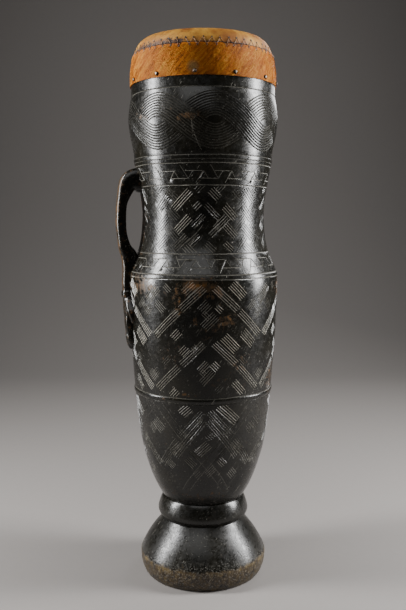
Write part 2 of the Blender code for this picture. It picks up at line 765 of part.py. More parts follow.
def nail_mesh():
    """A domed nail along +Z: square shank below, head above, origin under the head."""
    nail = Wall()
    nail.start(-NAIL_DEPTH)
    nail.ring(-NAIL_DEPTH, NAIL_SHANK_CORNERS / 2, 4)
    nail.ring(0, NAIL_SHANK_CORNERS / 2, 4)
    nail.ring(0, NAIL_HEAD_RADIUS, 6)
    nail.ring(NAIL_HEAD_RISE * 0.65, NAIL_HEAD_RADIUS * 0.72, 6)
    nail.finish(NAIL_HEAD_RISE)
    return nail


def nail_places():
    """Where each nail's head sits on the collar, and the way it points."""
    seat = collar_outer_radius + FIT_GAP
    for number in range(NAIL_COUNT):
        angle = FACE + NAIL_PHASE + math.tau * number / NAIL_COUNT
        outwards = Vector((math.cos(angle), math.sin(angle), 0))
        place = outwards * seat + Vector((0, 0, collar_hem + NAIL_ROW_ABOVE_HEM))
        yield place, outwards.to_track_quat("Z", "Y")


def make_nails(holed):
    nail = nail_mesh()
    first = None
    for number, (place, turn) in enumerate(nail_places(), 1):
        name = f"nail_{number:02d}"
        if first is None:
            piece = mesh_object(name, nail.points, nail.faces, iron)
            first = piece
        else:
            piece = bpy.data.objects.new(name, first.data)
            bpy.context.collection.objects.link(piece)
        piece.location = place
        piece.rotation_mode = "QUATERNION"
        piece.rotation_quaternion = turn

    hole = Wall()
    reach = NAIL_SHANK_CORNERS / 2 + NAIL_FIT
    hole.start(-NAIL_DEPTH - NAIL_FIT)
    hole.ring(-NAIL_DEPTH - NAIL_FIT, reach, 4)
    hole.ring(NAIL_HEAD_RISE, reach, 4)
    hole.finish(NAIL_HEAD_RISE)
    points, faces = [], []
    for place, turn in nail_places():
        first_point = len(points)
        points += [tuple(place + turn @ Vector(point)) for point in hole.points]
        faces += [tuple(first_point + corner for corner in face) for face in hole.faces]
    drill = mesh_object("nail_holes", points, faces, iron, smooth=False)
    as_tool(drill)
    for piece in holed:
        combine(piece, drill, "DIFFERENCE")


def as_tool(piece):
    piece.hide_render = True
    piece.display_type = "WIRE"


def combine(piece, tool, operation):
    modifier = piece.modifiers.new(tool.name, "BOOLEAN")
    modifier.operation = operation
    modifier.object = tool
    modifier.solver = "EXACT"


def arm_point(radius, across, height):
    """A point of the handle: out from the axis, across its width and up."""
    outwards = Vector((math.cos(HANDLE), math.sin(HANDLE), 0))
    sideways = Vector((-math.sin(HANDLE), math.cos(HANDLE), 0))
    return outwards * radius + sideways * across + Vector((0, 0, height))


def finished_form(name, form):
    """A closed bmesh form as an object that is then joined to the log."""
    bmesh.ops.recalc_face_normals(form, faces=form.faces)
    mesh = bpy.data.meshes.new(name)
    form.to_mesh(mesh)
    form.free()
    mesh.materials.append(wood)
    mesh.shade_smooth()
    mesh.set_sharp_from_angle(angle=math.radians(35))
    piece = bpy.data.objects.new(name, mesh)
    bpy.context.collection.objects.link(piece)
    as_tool(piece)
    return piece


def lofted(name, stations):
    """A rounded bar through stations of (radius, height, across, thickness, width)."""
    corners = [(0.5, 0.2), (0.3, 0.5), (-0.3, 0.5), (-0.5, 0.2), (-0.4, -0.5), (0.4, -0.5)]
    form = bmesh.new()
    rings = []
    for index, (radius, height, across, thickness, width) in enumerate(stations):
        before, after = stations[max(index - 1, 0)], stations[min(index + 1, len(stations) - 1)]
        along = Vector((after[0] - before[0], after[1] - before[1])).normalized()
        ring = []
        for share_across, share_out in corners:
            out = share_out * thickness
            ring.append(form.verts.new(arm_point(radius - along.y * out, across + share_across * width,
                                                 height + along.x * out)))
        rings.append(ring)
    for low, high in zip(rings, rings[1:]):
        for index in range(len(corners)):
            after = (index + 1) % len(corners)
            form.faces.new((low[index], low[after], high[after], high[index]))
    form.faces.new(reversed(rings[0]))
    form.faces.new(rings[-1])
    return finished_form(name, form)


def lying_station(height, proud, across, width):
    """A station of a bar that lies on the wood and is sunk a little way into it."""
    skin = body_radius(height)
    skin -= across * across / (2 * skin)
    return (skin + (proud - ARM_SINK) / 2, height, across, proud + ARM_SINK, width)


def hand_relief(name, wrist):
    """The back of the hand and its fingers, as one relief lying on the belly."""
    knuckles = wrist - PALM_LENGTH
    tip = wrist - HAND_LENGTH
    # Each row: height, width, how proud the fingers stand, and the dip between them as a share
    rows = [(wrist + 0.003, ARM_WIDTH * 0.84, FOREARM_PROUD * 0.85, 1.0),
            (between(wrist, knuckles, 0.45), HAND_WIDTH * 0.94, FOREARM_PROUD, 0.97),
            (knuckles, HAND_WIDTH, FOREARM_PROUD * 0.95, 0.75),
            (between(knuckles, tip, 0.2), HAND_WIDTH, FINGER_PROUD, 0.22),
            (between(knuckles, tip, 0.75), HAND_WIDTH, FINGER_PROUD * 0.85, 0.15),
            (tip, HAND_WIDTH * 0.94, FINGER_PROUD * 0.3, 0.1)]
    columns = 2 * FINGER_COUNT
    form = bmesh.new()
    top, under = [], []
    for row, (height, width, proud, dip) in enumerate(rows):
        line = []
        for column in range(columns + 1):
            side = column / columns - 0.5
            outer_finger = column < 2 or column > columns - 2
            level = height + (0.007 if outer_finger and row >= len(rows) - 2 else 0.0)
            rise = proud * (1 - 1.1 * side * side) * (1.0 if column % 2 else dip)
            if column in (0, columns):
                rise = proud * 0.25
            skin = body_radius(level)
            angle = HANDLE + side * width / skin
            radius = skin + rise
            line.append(form.verts.new((radius * math.cos(angle), radius * math.sin(angle), level)))
        top.append(line)
        pair = []
        for side in (-0.5, 0.5):
            skin = body_radius(height) - ARM_SINK
            angle = HANDLE + side * width / skin
            pair.append(form.verts.new((skin * math.cos(angle), skin * math.sin(angle), height)))
        under.append(pair)
    for row in range(len(rows) - 1):
        here, there = top[row], top[row + 1]
        for column in range(columns):
            form.faces.new((here[column], here[column + 1], there[column + 1], there[column]))
        form.faces.new((under[row][0], under[row + 1][0], under[row + 1][1], under[row][1]))
        form.faces.new((here[0], there[0], under[row + 1][0], under[row][0]))
        form.faces.new((here[-1], under[row][1], under[row + 1][1], there[-1]))
    for row in (0, -1):
        form.faces.new(top[row] + under[row][::-1])
    return finished_form(name, form)


def make_arm():
    """Upper arm, forearm, bracelet, hand and thumb."""
    centre = NECK_RADIUS + ARM_REACH - ARM_THICKNESS / 2
    wrist = shoulder - WRIST_BELOW_SHOULDER
    root = strip_high - ROOT_DEPTH / 2
    bend = between(neck_low, neck_high, 0.42)
    arm = [
        (UPPER_STRIP_RADIUS - ARM_SINK - 0.005, root, 0, ROOT_DEPTH, ARM_WIDTH),
        (UPPER_STRIP_RADIUS + 0.006, root - 0.002, 0, ROOT_DEPTH * 0.88, ARM_WIDTH),
        (UPPER_STRIP_RADIUS + 0.018, root - 0.011, 0, ROOT_DEPTH * 0.68, ARM_WIDTH),
        (centre - 0.0048, root - 0.037, 0, ARM_THICKNESS * 1.16, ARM_WIDTH),
        (centre - 0.0008, root - 0.058, 0, ARM_THICKNESS, ARM_WIDTH),
        (centre, bend, 0, ARM_THICKNESS, ARM_WIDTH),
        (centre - 0.0026, neck_low + 0.033, 0, ARM_THICKNESS, ARM_WIDTH * 0.97),
        (centre - 0.0085, neck_low + 0.008, 0, ARM_THICKNESS * 1.25, ARM_WIDTH * 0.95),
        (centre - 0.0175, neck_low - 0.012, 0, ARM_THICKNESS * 1.6, ARM_WIDTH * 0.92),
        lying_station(shoulder, FOREARM_PROUD, 0, ARM_WIDTH * 0.9),
        lying_station(wrist - 0.002, FOREARM_PROUD * 0.88, 0, ARM_WIDTH * 0.86),
    ]
    bracelet_proud = FOREARM_PROUD * 0.88 + BRACELET_PROUD
    bracelet = [lying_station(wrist + BRACELET_WIDTH / 2, bracelet_proud, 0, ARM_WIDTH),
                lying_station(wrist - BRACELET_WIDTH / 2, bracelet_proud, 0, ARM_WIDTH)]
    thumb_root = wrist - 0.012
    side = HAND_WIDTH / 2
    thumb = [lying_station(thumb_root, FINGER_PROUD, side * 0.75, 0.013),
             lying_station(thumb_root - THUMB_LENGTH * 0.5, FINGER_PROUD * 0.85, side * 1.28, 0.012),
             lying_station(thumb_root - THUMB_LENGTH, FINGER_PROUD * 0.4, side * 1.42, 0.008)]
    return [lofted("arm", arm), lofted("bracelet", bracelet), hand_relief("hand", wrist),
            lofted("thumb", thumb)]


for leftover in list(bpy.data.objects):
    bpy.data.objects.remove(leftover)
wood = paint("dark_polished_wood", (0.030, 0.024, 0.020), 0.32)
rawhide = paint("drum_rawhide", (0.52, 0.31, 0.12), 0.45)
haired_hide = paint("haired_hide", (0.36, 0.17, 0.05), 0.8)
sinew = paint("sinew_lacing", (0.40, 0.25, 0.12), 0.6)
iron = paint("nail_iron", (0.16, 0.13, 0.11), 0.45, 0.8)

body = make_log()
for part_of_arm in make_arm():
    combine(body, part_of_arm, "UNION")
make_head()
collar = make_collar()
make_lacing()
make_nails([body, collar])
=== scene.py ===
# Ceremonial pedestal drum: a carved and hollowed log with an arm-shaped handle, a rawhide head, a hide
# collar with its hair on, the stitches between them and a row of dome nails. Metres, +Z up.

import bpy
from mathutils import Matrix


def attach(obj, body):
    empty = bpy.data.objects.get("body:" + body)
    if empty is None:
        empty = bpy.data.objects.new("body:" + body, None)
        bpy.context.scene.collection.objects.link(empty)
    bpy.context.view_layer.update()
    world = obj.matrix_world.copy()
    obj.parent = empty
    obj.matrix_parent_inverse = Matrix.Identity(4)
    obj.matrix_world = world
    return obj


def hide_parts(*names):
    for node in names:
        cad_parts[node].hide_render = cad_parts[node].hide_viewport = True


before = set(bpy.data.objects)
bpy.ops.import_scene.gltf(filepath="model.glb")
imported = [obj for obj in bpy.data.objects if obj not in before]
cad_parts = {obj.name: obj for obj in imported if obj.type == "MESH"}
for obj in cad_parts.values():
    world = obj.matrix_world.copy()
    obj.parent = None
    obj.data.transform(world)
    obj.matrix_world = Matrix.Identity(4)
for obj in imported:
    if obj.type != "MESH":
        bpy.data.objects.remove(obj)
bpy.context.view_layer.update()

import copy
import math
import random

import bmesh
import bpy
import numpy as np
from mathutils import Vector, kdtree, noise
from mathutils.geometry import delaunay_2d_cdt

print("Frame loaded")


# Small helpers

def toLinear(hexColour):
    shares = [int(hexColour[place:place + 2], 16) / 255 for place in (1, 3, 5)]
    return [share / 12.92 if share <= 0.04045 else ((share + 0.055) / 1.055) ** 2.4 for share in shares] + [1.0]


def between(low, high, share):
    return low + (high - low) * share


def smoothCurve(stations):
    # Monotone cubic through (height, radius) stations, so a turned profile has no false bulges
    heights = [height for height, radius in stations]
    radii = [radius for height, radius in stations]
    steps = [b - a for a, b in zip(heights, heights[1:])]
    slopes = [(b - a) / step for a, b, step in zip(radii, radii[1:], steps)]
    tangents = [slopes[0]]
    for left, right in zip(slopes, slopes[1:]):
        tangents.append(0.0 if left * right <= 0 else 2 * left * right / (left + right))
    tangents.append(slopes[-1])

    def radiusAt(height):
        index = 0
        while index < len(steps) - 1 and height > heights[index + 1]:
            index += 1
        t = min(max((height - heights[index]) / steps[index], 0.0), 1.0)
        run = steps[index]
        return (radii[index] * (1 + 2 * t) * (1 - t) ** 2 + tangents[index] * run * t * (1 - t) ** 2
                + radii[index + 1] * t * t * (3 - 2 * t) + tangents[index + 1] * run * t * t * (t - 1))

    return radiusAt


def shaped(low, high, start, end, shares):
    return [(between(low, high, along), between(start, end, across)) for along, across in shares]


def addNode(tree, kind, settings=None, inputs=None):
    # A shader node with its settings; an input is a plain value or the socket it is linked from
    node = tree.nodes.new("ShaderNode" + kind)
    for name, value in (settings or {}).items():
        setattr(node, name, value)
    for name, value in (inputs or {}).items():
        if isinstance(value, bpy.types.NodeSocket):
            tree.links.new(value, node.inputs[name])
        else:
            node.inputs[name].default_value = value
    return node


def newMaterial(name):
    material = bpy.data.materials.new(name)
    material.use_nodes = True
    return material, material.node_tree, material.node_tree.nodes["Principled BSDF"]


def newPiece(name, points, faces, material, marks=None, sharp=50):
    mesh = bpy.data.meshes.new(name)
    mesh.from_pydata(points, [], faces)
    for markName, values in (marks or {}).items():
        mark = mesh.attributes.new(markName, "FLOAT", "POINT")
        mark.data.foreach_set("value", np.asarray(values, np.float32))
    mesh.materials.append(material)
    mesh.shade_smooth()
    if sharp:
        mesh.set_sharp_from_angle(angle=math.radians(sharp))
    piece = bpy.data.objects.new(name, mesh)
    bpy.context.scene.collection.objects.link(piece)
    return piece


# Outline of the log, section by section from the floor up, in metres

log = {
    "sections": (("footEdge", 0.0435), ("pinch", 0.0775), ("beadTop", 0.048), ("ringLow", 0.2333),
                 ("ringHigh", 0.009), ("bellyHigh", 0.2397), ("shoulder", 0.0083), ("neckLow", 0.0404),
                 ("neckHigh", 0.1336), ("stripHigh", 0.0422), ("ledge", 0.0147), ("knotHigh", 0.1275),
                 ("collarHem", 0.0214), ("headHem", 0.0246), ("seam", 0.0373), ("top", 0.0267)),
    "underside": 0.126, "footEdge": 0.1372, "pinch": 0.0885, "beadCrown": 0.0985, "beadTop": 0.0868,
    "ring": 0.1463, "ringProud": 0.0018, "belly": 0.159, "lowerStrip": 0.1388, "neck": 0.1285,
    "upperStrip": 0.1425, "ledge": 0.1452, "knots": 0.1553, "rim": 0.1493, "seam": 0.1406, "lip": 0.1236,
    "mouth": 0.118, "wall": 0.018, "floorAboveBead": 0.022,
    "faceAngle": -103.0,         # degrees: the side with the fullest carving
    "sides": 216,                # points round a plain ring
    "unevenness": 0.0007,        # how far the adze left the round, radially
    "drift": 0.0009,             # how far carved lines wander along the surface
}

at = {}
height = 0.0
for sectionName, sectionRun in log["sections"]:
    height += sectionRun
    at[sectionName] = height
face = math.radians(log["faceAngle"])

footBand = shaped(0, at["footEdge"], log["underside"], log["footEdge"],
                  [(0, 0), (0.1, 0.3), (0.28, 0.62), (0.7, 0.97), (0.93, 1)])
footFlare = shaped(at["footEdge"], at["pinch"], log["footEdge"], log["pinch"],
                   [(0, 0), (0.04, 0.025), (0.12, 0.085), (0.25, 0.19), (0.41, 0.335), (0.66, 0.615), (0.86, 0.865), (1, 1)])
footRadius = smoothCurve(footBand)
flareRadius = smoothCurve(footFlare)
# The bead: a band that leans back a little, its lower edge undercut. Shares of its height and of its rise
beadShape = smoothCurve([(0, 0.0), (0.05, 0.18), (0.13, 0.56), (0.22, 0.87), (0.30, 0.985), (0.36, 1.0), (0.42, 0.97),
                         (0.5, 0.89), (0.68, 0.67), (0.84, 0.43), (0.95, 0.2), (1, 0.05)])
bowl = shaped(at["beadTop"], at["ringLow"], log["beadTop"], log["ring"],
              [(0, 0), (0.07, 0.165), (0.155, 0.33), (0.305, 0.553), (0.477, 0.737), (0.65, 0.855),
               (0.86, 0.955), (1, 1)])
belly = shaped(at["ringHigh"], at["bellyHigh"], log["ring"], log["belly"],
               [(0.2, 0.33), (0.45, 0.65), (0.62, 0.78), (0.8, 0.9), (0.93, 1), (1, 0.97)])
lowerStrip = shaped(at["shoulder"], at["neckLow"], log["belly"], log["lowerStrip"],
                    [(0.31, 0.42), (0.76, 0.84), (1, 1)])
neck = shaped(at["neckLow"], at["neckHigh"], log["lowerStrip"], log["neck"],
              [(0.08, 0.33), (0.3, 0.8), (0.56, 1), (0.8, 0.8), (1, 0.38)])
upperStrip = shaped(at["neckHigh"], at["stripHigh"], log["neck"], log["upperStrip"], [(0.6, 0.77), (1, 1)])
bodyRadius = smoothCurve(bowl + belly + [(at["shoulder"], log["belly"] - 0.0025)] + lowerStrip + neck + upperStrip)
ledgeRadius = smoothCurve([(at["stripHigh"], log["upperStrip"]), (at["ledge"], log["ledge"])])
knotRadius = smoothCurve(shaped(at["ledge"], at["knotHigh"], log["ledge"], log["knots"],
                                [(0, -0.17), (0.12, 0.05), (0.23, 0.29), (0.43, 0.77), (0.63, 1),
                                 (0.86, 0.73), (1, 0.4)]))
rimRadius = smoothCurve([(at["knotHigh"], knotRadius(at["knotHigh"])), (at["collarHem"], log["rim"])])
shoulderRadius = smoothCurve(shaped(at["seam"], at["top"], log["seam"], log["lip"],
                                    [(0, 0), (0.2, 0.08), (0.52, 0.3), (0.83, 0.65), (1, 1)]))


def beadRadius(z):
    share = (z - at["pinch"]) / (at["beadTop"] - at["pinch"])
    base = between(log["pinch"], log["beadTop"], share)
    crown = log["beadCrown"] - between(log["pinch"], log["beadTop"], 0.5)
    return base + crown * beadShape(share)


def hollowRadius(z):
    outside = bodyRadius if z <= at["stripHigh"] else knotRadius
    share = max(0.0, (z - at["knotHigh"]) / (at["top"] - at["knotHigh"]))
    return between(outside(z) - log["wall"], log["mouth"], min(share, 1.0))


# A closed wall built ring by ring; carved bands are cut flat, bent round and zipped between the rings

class Wall:
    def __init__(self):
        self.points = []
        self.cut = []
        self.dustAndGlint = []
        self.faces = []
        self.last = []
        self.first = []
        self.centreBelow = None

    def addPoint(self, angle, radius, z, cut=0.0, dustAndGlint=0.12):
        self.points.append((radius * math.cos(angle), radius * math.sin(angle), z))
        self.cut.append(cut)
        self.dustAndGlint.append(dustAndGlint)
        return len(self.points) - 1

    def start(self, z):
        self.centreBelow = self.addPoint(0, 0, z)

    def ring(self, z, radius, sides=None, cut=0.0):
        sides = sides or log["sides"]
        angles = [face + math.tau * side / sides for side in range(sides)]
        self.join([(angle, self.addPoint(angle, radius, z, cut)) for angle in angles])

    def join(self, ring):
        low, high = self.last, ring
        if not low and self.centreBelow is None:
            self.first = ring
        elif not low:
            for (_, here), (_, there) in zip(ring, ring[1:] + ring[:1]):
                self.faces.append((self.centreBelow, there, here))
        else:
            low = low + [(low[0][0] + math.tau, low[0][1])]
            high = high + [(high[0][0] + math.tau, high[0][1])]
            i = j = 0
            while i < len(low) - 1 or j < len(high) - 1:
                lowNext = low[i + 1][0] if i < len(low) - 1 else math.inf
                highNext = high[j + 1][0] if j < len(high) - 1 else math.inf
                if lowNext <= highNext:
                    self.faces.append((low[i][1], low[i + 1][1], high[j][1]))
                    i += 1
                else:
                    self.faces.append((low[i][1], high[j + 1][1], high[j][1]))
                    j += 1
        self.last = ring

    def close(self):
        self.join(self.first)

    def finish(self, z):
        centre = self.addPoint(0, 0, z)
        for (_, here), (_, there) in zip(self.last, self.last[1:] + self.last[:1]):
            self.faces.append((here, there, centre))


class Cut:
    # A V cut along a line of (x, z) points: half its width, its depth, how far its edge is rounded over and
    # how much pale fill it holds, partly dust and partly a painted highlight of its lit walls
    def __init__(self, line, style, depth=1.0, dustAndGlint=0.3):
        self.line = line
        self.half = style["half"]
        self.depth = style["depth"] * depth
        self.edge = style["edge"]
        self.rounding = style["rounding"]
        self.dustAndGlint = dustAndGlint

    def moved(self, shift):
        twin = copy.copy(self)
        twin.line = [(x + shift, z) for x, z in self.line]
        return twin

    def depthAt(self, distance):
        if distance < self.half:
            return self.edge + (self.depth - self.edge) * (1 - distance / self.half)
        return self.edge * max(0.0, 1 - (distance - self.half) / self.rounding)


def resampled(line, step):
    points = [line[0]]
    for (ax, az), (bx, bz) in zip(line, line[1:]):
        pieces = max(1, math.ceil(math.hypot(bx - ax, bz - az) / step))
        points += [(between(ax, bx, i / pieces), between(az, bz, i / pieces)) for i in range(1, pieces + 1)]
    return points


def offsetLine(line, distance):
    points = [Vector(point) for point in line]
    directions = [(b - a).normalized() for a, b in zip(points, points[1:])]
    moved = []
    for index, point in enumerate(points):
        before = directions[max(index - 1, 0)]
        after = directions[min(index, len(directions) - 1)]
        along = (before + after).normalized()
        side = Vector((-along.y, along.x)) * (distance / max(along.dot(after), 0.5))
        moved.append(tuple(point + side))
    return moved


def distanceToPiece(x, z, piece):
    ax, az, bx, bz = piece
    dx, dz = bx - ax, bz - az
    share = min(max(((x - ax) * dx + (z - az) * dz) / (dx * dx + dz * dz), 0.0), 1.0)
    return math.hypot(x - ax - share * dx, z - az - share * dz)


carving = {
    "step": 0.0070,      # longest straight piece of a curved cut, so that it follows the round
    "longStep": 0.0125,  # the same for a straight cut
    "filler": 0.0078,    # spacing of the plain points between the cuts
    "clear": 0.0012,     # plain points keep this far from a cut's edge
    "bucket": 0.004,
}


def carvedBand(wall, low, high, radiusAt, cuts, crests=(), step=carving["step"]):
    # Cuts are lines of (x, z): x in metres along the girth at the band's middle, 0 at the face
    girthRadius = radiusAt((low + high) / 2)
    span = math.tau * girthRadius
    left = -span / 2
    near = []
    for cut in cuts:
        for shift in (-span, 0.0, span):
            moved = cut.moved(shift)
            reach = 2 * cut.half
            xs = [x for x, z in moved.line]
            if max(xs) > left - reach and min(xs) < left + span + reach:
                moved.line = resampled(moved.line, step)
                near.append(moved)

    points, edges = [], []

    def addChain(chain, closed):
        first = len(points)
        points.extend(Vector((x * 1000, z * 1000)) for x, z in chain)
        count = len(chain)
        edges.extend((first + i, first + (i + 1) % count) for i in range(count if closed else count - 1))

    columns = math.ceil(span / carving["filler"])
    rows = max(1, math.ceil((high - low) / carving["filler"]))
    frameChain = [(left + span * i / columns, low) for i in range(columns)]
    frameChain += [(left + span, between(low, high, i / rows)) for i in range(rows)]
    frameChain += [(left + span * (1 - i / columns), high) for i in range(columns)]
    frameChain += [(left, between(high, low, i / rows)) for i in range(rows)]
    addChain(frameChain, True)

    buckets = {}
    size = carving["bucket"]
    samples = []
    for index, cut in enumerate(near):
        line = [Vector(point) for point in cut.line]
        startTip = line[0] - (line[1] - line[0]).normalized() * cut.half
        endTip = line[-1] + (line[-1] - line[-2]).normalized() * cut.half
        outline = [tuple(startTip)] + offsetLine(cut.line, cut.half) + [tuple(endTip)]
        outline += offsetLine(cut.line, -cut.half)[::-1]
        addChain(outline, True)
        addChain(cut.line, False)
        reach = cut.half + cut.rounding
        for (ax, az), (bx, bz) in zip(cut.line, cut.line[1:]):
            samples += [(between(ax, bx, i / 4), between(az, bz, i / 4), reach) for i in range(5)]
            piece = (ax, az, bx, bz)
            for column in range(math.floor((min(ax, bx) - reach) / size), math.floor((max(ax, bx) + reach) / size) + 1):
                for row in range(math.floor((min(az, bz) - reach) / size), math.floor((max(az, bz) + reach) / size) + 1):
                    buckets.setdefault((column, row), []).append((index, piece))
    for crest in crests:
        for shift in (-span, 0.0, span):
            line = resampled([(x + shift, z) for x, z in crest], step)
            if max(x for x, z in line) > left and min(x for x, z in line) < left + span:
                addChain(line, False)
                samples += [(x, z, 0.0) for x, z in line]

    tree = kdtree.KDTree(max(len(samples), 1))
    for index, (x, z, reach) in enumerate(samples):
        tree.insert((x, z, 0), index)
    tree.balance()
    for row in range(1, rows):
        for column in range(columns):
            x = left + span * (column + (0.5 if row % 2 else 0.0)) / columns
            z = between(low, high, row / rows)
            if not left + 0.001 < x < left + span - 0.001:
                continue
            if samples:
                _, index, distance = tree.find((x, z, 0))
                if distance < samples[index][2] + carving["clear"] + step / 8:
                    continue
            points.append(Vector((x * 1000, z * 1000)))

    flatPoints, _, flatFaces, _, _, _ = delaunay_2d_cdt(points, edges, [], 0, 1e-4)
    inside = []
    for corners in flatFaces:
        x = sum(flatPoints[i].x for i in corners) / 3000
        z = sum(flatPoints[i].y for i in corners) / 3000
        if left < x < left + span and low < z < high:
            inside.append(corners)
    used = sorted({index for corners in inside for index in corners})
    renumbered = {}
    lowRing, highRing = [], []
    for old in used:
        x, z = flatPoints[old].x / 1000, flatPoints[old].y / 1000
        depth = share = 0.0
        dustAndGlint, closest = 0.12, 1.0
        for index, piece in buckets.get((math.floor(x / size), math.floor(z / size)), ()):
            cut = near[index]
            distance = distanceToPiece(x, z, piece)
            found = cut.depthAt(distance)
            if found > depth:
                depth, share = found, found / cut.depth
            if distance < closest:
                closest, dustAndGlint = distance, cut.dustAndGlint
        angle = face + x / girthRadius
        depth *= wornAt(math.degrees(x / girthRadius), z)
        slope = (radiusAt(z + 0.001) - radiusAt(z - 0.001)) / 0.002
        level = math.hypot(1.0, slope)
        new = wall.addPoint(angle, radiusAt(z) - depth / level, z + depth * slope / level, share, dustAndGlint)
        renumbered[old] = new
        if abs(z - low) < 1e-7 and x < left + span - 1e-7:
            lowRing.append((face + (x / girthRadius) % math.tau, new))
        if abs(z - high) < 1e-7 and x < left + span - 1e-7:
            highRing.append((face + (x / girthRadius) % math.tau, new))
    for corners in inside:
        a, b, c = (flatPoints[i] for i in corners)
        turned = [renumbered[i] for i in corners]
        wall.faces.append(tuple(turned) if (b - a).cross(c - a) > 0 else tuple(reversed(turned)))
    wall.join(sorted(lowRing))
    wall.last = sorted(highRing)


# Carved patterns. Angles are degrees from the face, + to the right; heights in metres

chisel = random.Random(11)
fine = {"half": 0.00085, "depth": 0.00100, "edge": 0.0, "rounding": 0.0004}      # a single scored line
corded = {"half": 0.0013, "depth": 0.0020, "edge": 0.0002, "rounding": 0.0012}   # between raised cords
hairline = {"half": 0.0005, "depth": 0.0007, "edge": 0.0, "rounding": 0.0003}    # a drying crack
plaited = {"half": 0.0008, "depth": 0.0010, "edge": 0.0, "rounding": 0.0004}     # between flat plaited splints


def onGirth(radius, degrees, z):
    return math.radians(degrees) * radius, z


def bundle(centre, lean, length, count, pitch, style, dustAndGlint):
    # Parallel straight cuts at 45 degrees about a centre: lean 1 rises to the right, -1 falls
    along = Vector((1, lean)).normalized()
    across = Vector((-along.y, along.x))
    cuts = []
    for index in range(count):
        offset = (index - (count - 1) / 2) * pitch
        trim = length / 2 - style["half"]
        start = Vector(centre) + across * offset - along * (trim + chisel.uniform(-0.0012, 0.0008))
        end = Vector(centre) + across * offset + along * (trim + chisel.uniform(-0.0012, 0.0008))
        cuts.append(Cut([tuple(start), tuple(end)], style, chisel.uniform(0.8, 1.15), dustAndGlint))
    return cuts


knotBand = {
    "knots": 8, "phase": 9.0,      # degrees from the face to the first strand's crest
    "strand": 0.050,               # width of one strand
    "eye": 0.0060,                 # half the height of the plain eye
    "cuts": 10,
    "margin": 0.0016,              # bare wood where a strand dives under its neighbour
    "crack": ((-8.1, 0.9554), (-7.6, 0.9390), (-4.9, 0.9200), (-3.2, 0.9080), (-1.1, 0.8985)),    # degrees, height
}


def knotCuts(low, high, radius):
    # Two strands of cords twisted round a row of eyes; the one falling to the right lies on top
    span = math.tau * radius / knotBand["knots"]
    middle = (low + high) / 2 + 0.0015
    strand = knotBand["strand"]
    swing = knotBand["eye"] + strand / 2
    pitch = strand / knotBand["cuts"]

    def strandPoint(x, offset):
        angle = math.pi * x / span
        slope = -swing * math.pi / span * math.sin(angle)
        length = math.hypot(1, slope)
        return x - offset * slope / length, middle + swing * math.cos(angle) + offset / length

    over = [(-span * i / 24, middle - swing * math.cos(math.pi * i / 24)) for i in range(-4, 29)]
    overPieces = [(ax, az, bx, bz) for (ax, az), (bx, bz) in zip(over, over[1:])]

    def hiddenEnd(offset, margin):
        x = 0.0
        while x > -0.9 * span:
            px, pz = strandPoint(x, offset)
            if min(distanceToPiece(px, pz, piece) for piece in overPieces) < strand / 2 + margin:
                break
            x -= 0.005 * span
        return x

    cuts, crests = [], []
    for number in range(knotBand["knots"]):
        shift = span * number + math.radians(knotBand["phase"]) * radius
        for index in range(2 * knotBand["cuts"] - 1):
            offset = (index / 2 + 0.5) * pitch - strand / 2
            isCrest = index % 2 == 1
            margin = knotBand["margin"] + (0.0 if not isCrest else 0.0008)
            start, end = hiddenEnd(offset, margin), span - hiddenEnd(-offset, margin)
            pieces = max(8, round((end - start) / carving["step"] * 1.25))
            line = [strandPoint(between(start, end, i / pieces), offset) for i in range(pieces + 1)]
            line = [(x + shift, z) for x, z in line]
            if isCrest:
                crests.append(line)
            else:
                cuts.append(Cut(line, corded, chisel.uniform(0.85, 1.1), 0.06))
    crack = [(math.radians(degrees) * radius, z) for degrees, z in knotBand["crack"]]
    cuts.append(Cut(crack, hairline, 1.0, 0.30))
    return cuts, crests


triangleStrip = {"count": 15, "halfBase": 0.009, "gap": 0.0022}


def triangleCuts(radius, low, high, floor, roof, phase):
    # Standing and hanging triangles with ribbons between them that pass over the border lines
    period = math.tau * radius / triangleStrip["count"]
    base = triangleStrip["halfBase"]
    lean = base / (roof - floor)
    half = period / 2
    top, bottom = high - triangleStrip["gap"], low + triangleStrip["gap"]
    cuts = []
    for number in range(triangleStrip["count"]):
        start = number * period + math.radians(phase) * radius
        wander = chisel.uniform(-0.0012, 0.0012)
        lines = [[(-base, floor), (0, roof)], [(0, roof), (base, floor)],
                 [(half - base - (top - roof) * lean, top), (half, floor)],
                 [(half, floor), (half + base, roof)],
                 [(period - base - (floor - bottom) * lean, bottom), (period - 0.0005, roof - 0.0008)],
                 [(-base + 0.0014, floor), (half - 0.0014, floor)],
                 [(half - base + 0.0014, roof), (period - 0.0014, roof)]]
        for line in lines:
            (ax, az), (bx, bz) = line
            along = Vector((bx - ax, bz - az)).normalized() * fine["half"] * 0.7
            moved = [(start + ax + along.x + wander, az + along.y), (start + bx - along.x + wander, bz - along.y)]
            cuts.append(Cut(moved, fine, chisel.uniform(0.75, 1.0), 0.22))
    return cuts


weave = {"repeats": 20, "rows": 7, "phase": -37.4, "drop": 0.0065, "bundle": 0.0190, "cuts": 4, "margin": 0.0022,
         "wornFrom": -24.0, "wornTo": 31.0}

# The worn middle of the neck, where long bundles were cut by eye: degrees, height, lean, length, cuts, pale fill (dust
# and painted highlight)
neckByEye = ((-34.0, 0.8060, 1, 0.050, 4, 0.50), (-18.7, 0.8045, 1, 0.049, 4, 0.75), (-18.0, 0.7575, 1, 0.040, 4, 0.70),
             (-5.2, 0.7925, 1, 0.017, 3, 0.40), (-4.5, 0.7640, 1, 0.032, 3, 0.22), (10.2, 0.8160, -1, 0.024, 4, 0.50),
             (8.3, 0.7825, -1, 0.036, 3, 0.22), (24.6, 0.7800, -1, 0.034, 4, 0.70), (30.0, 0.8170, -1, 0.022, 4, 0.50),
             (24.9, 0.7445, -1, 0.034, 4, 0.60), (22.3, 0.7135, -1, 0.022, 3, 0.55), (5.6, 0.7115, -1, 0.022, 4, 0.30),
             (-7.8, 0.7265, 1, 0.028, 4, 0.28), (10.5, 0.7450, 1, 0.026, 3, 0.22))


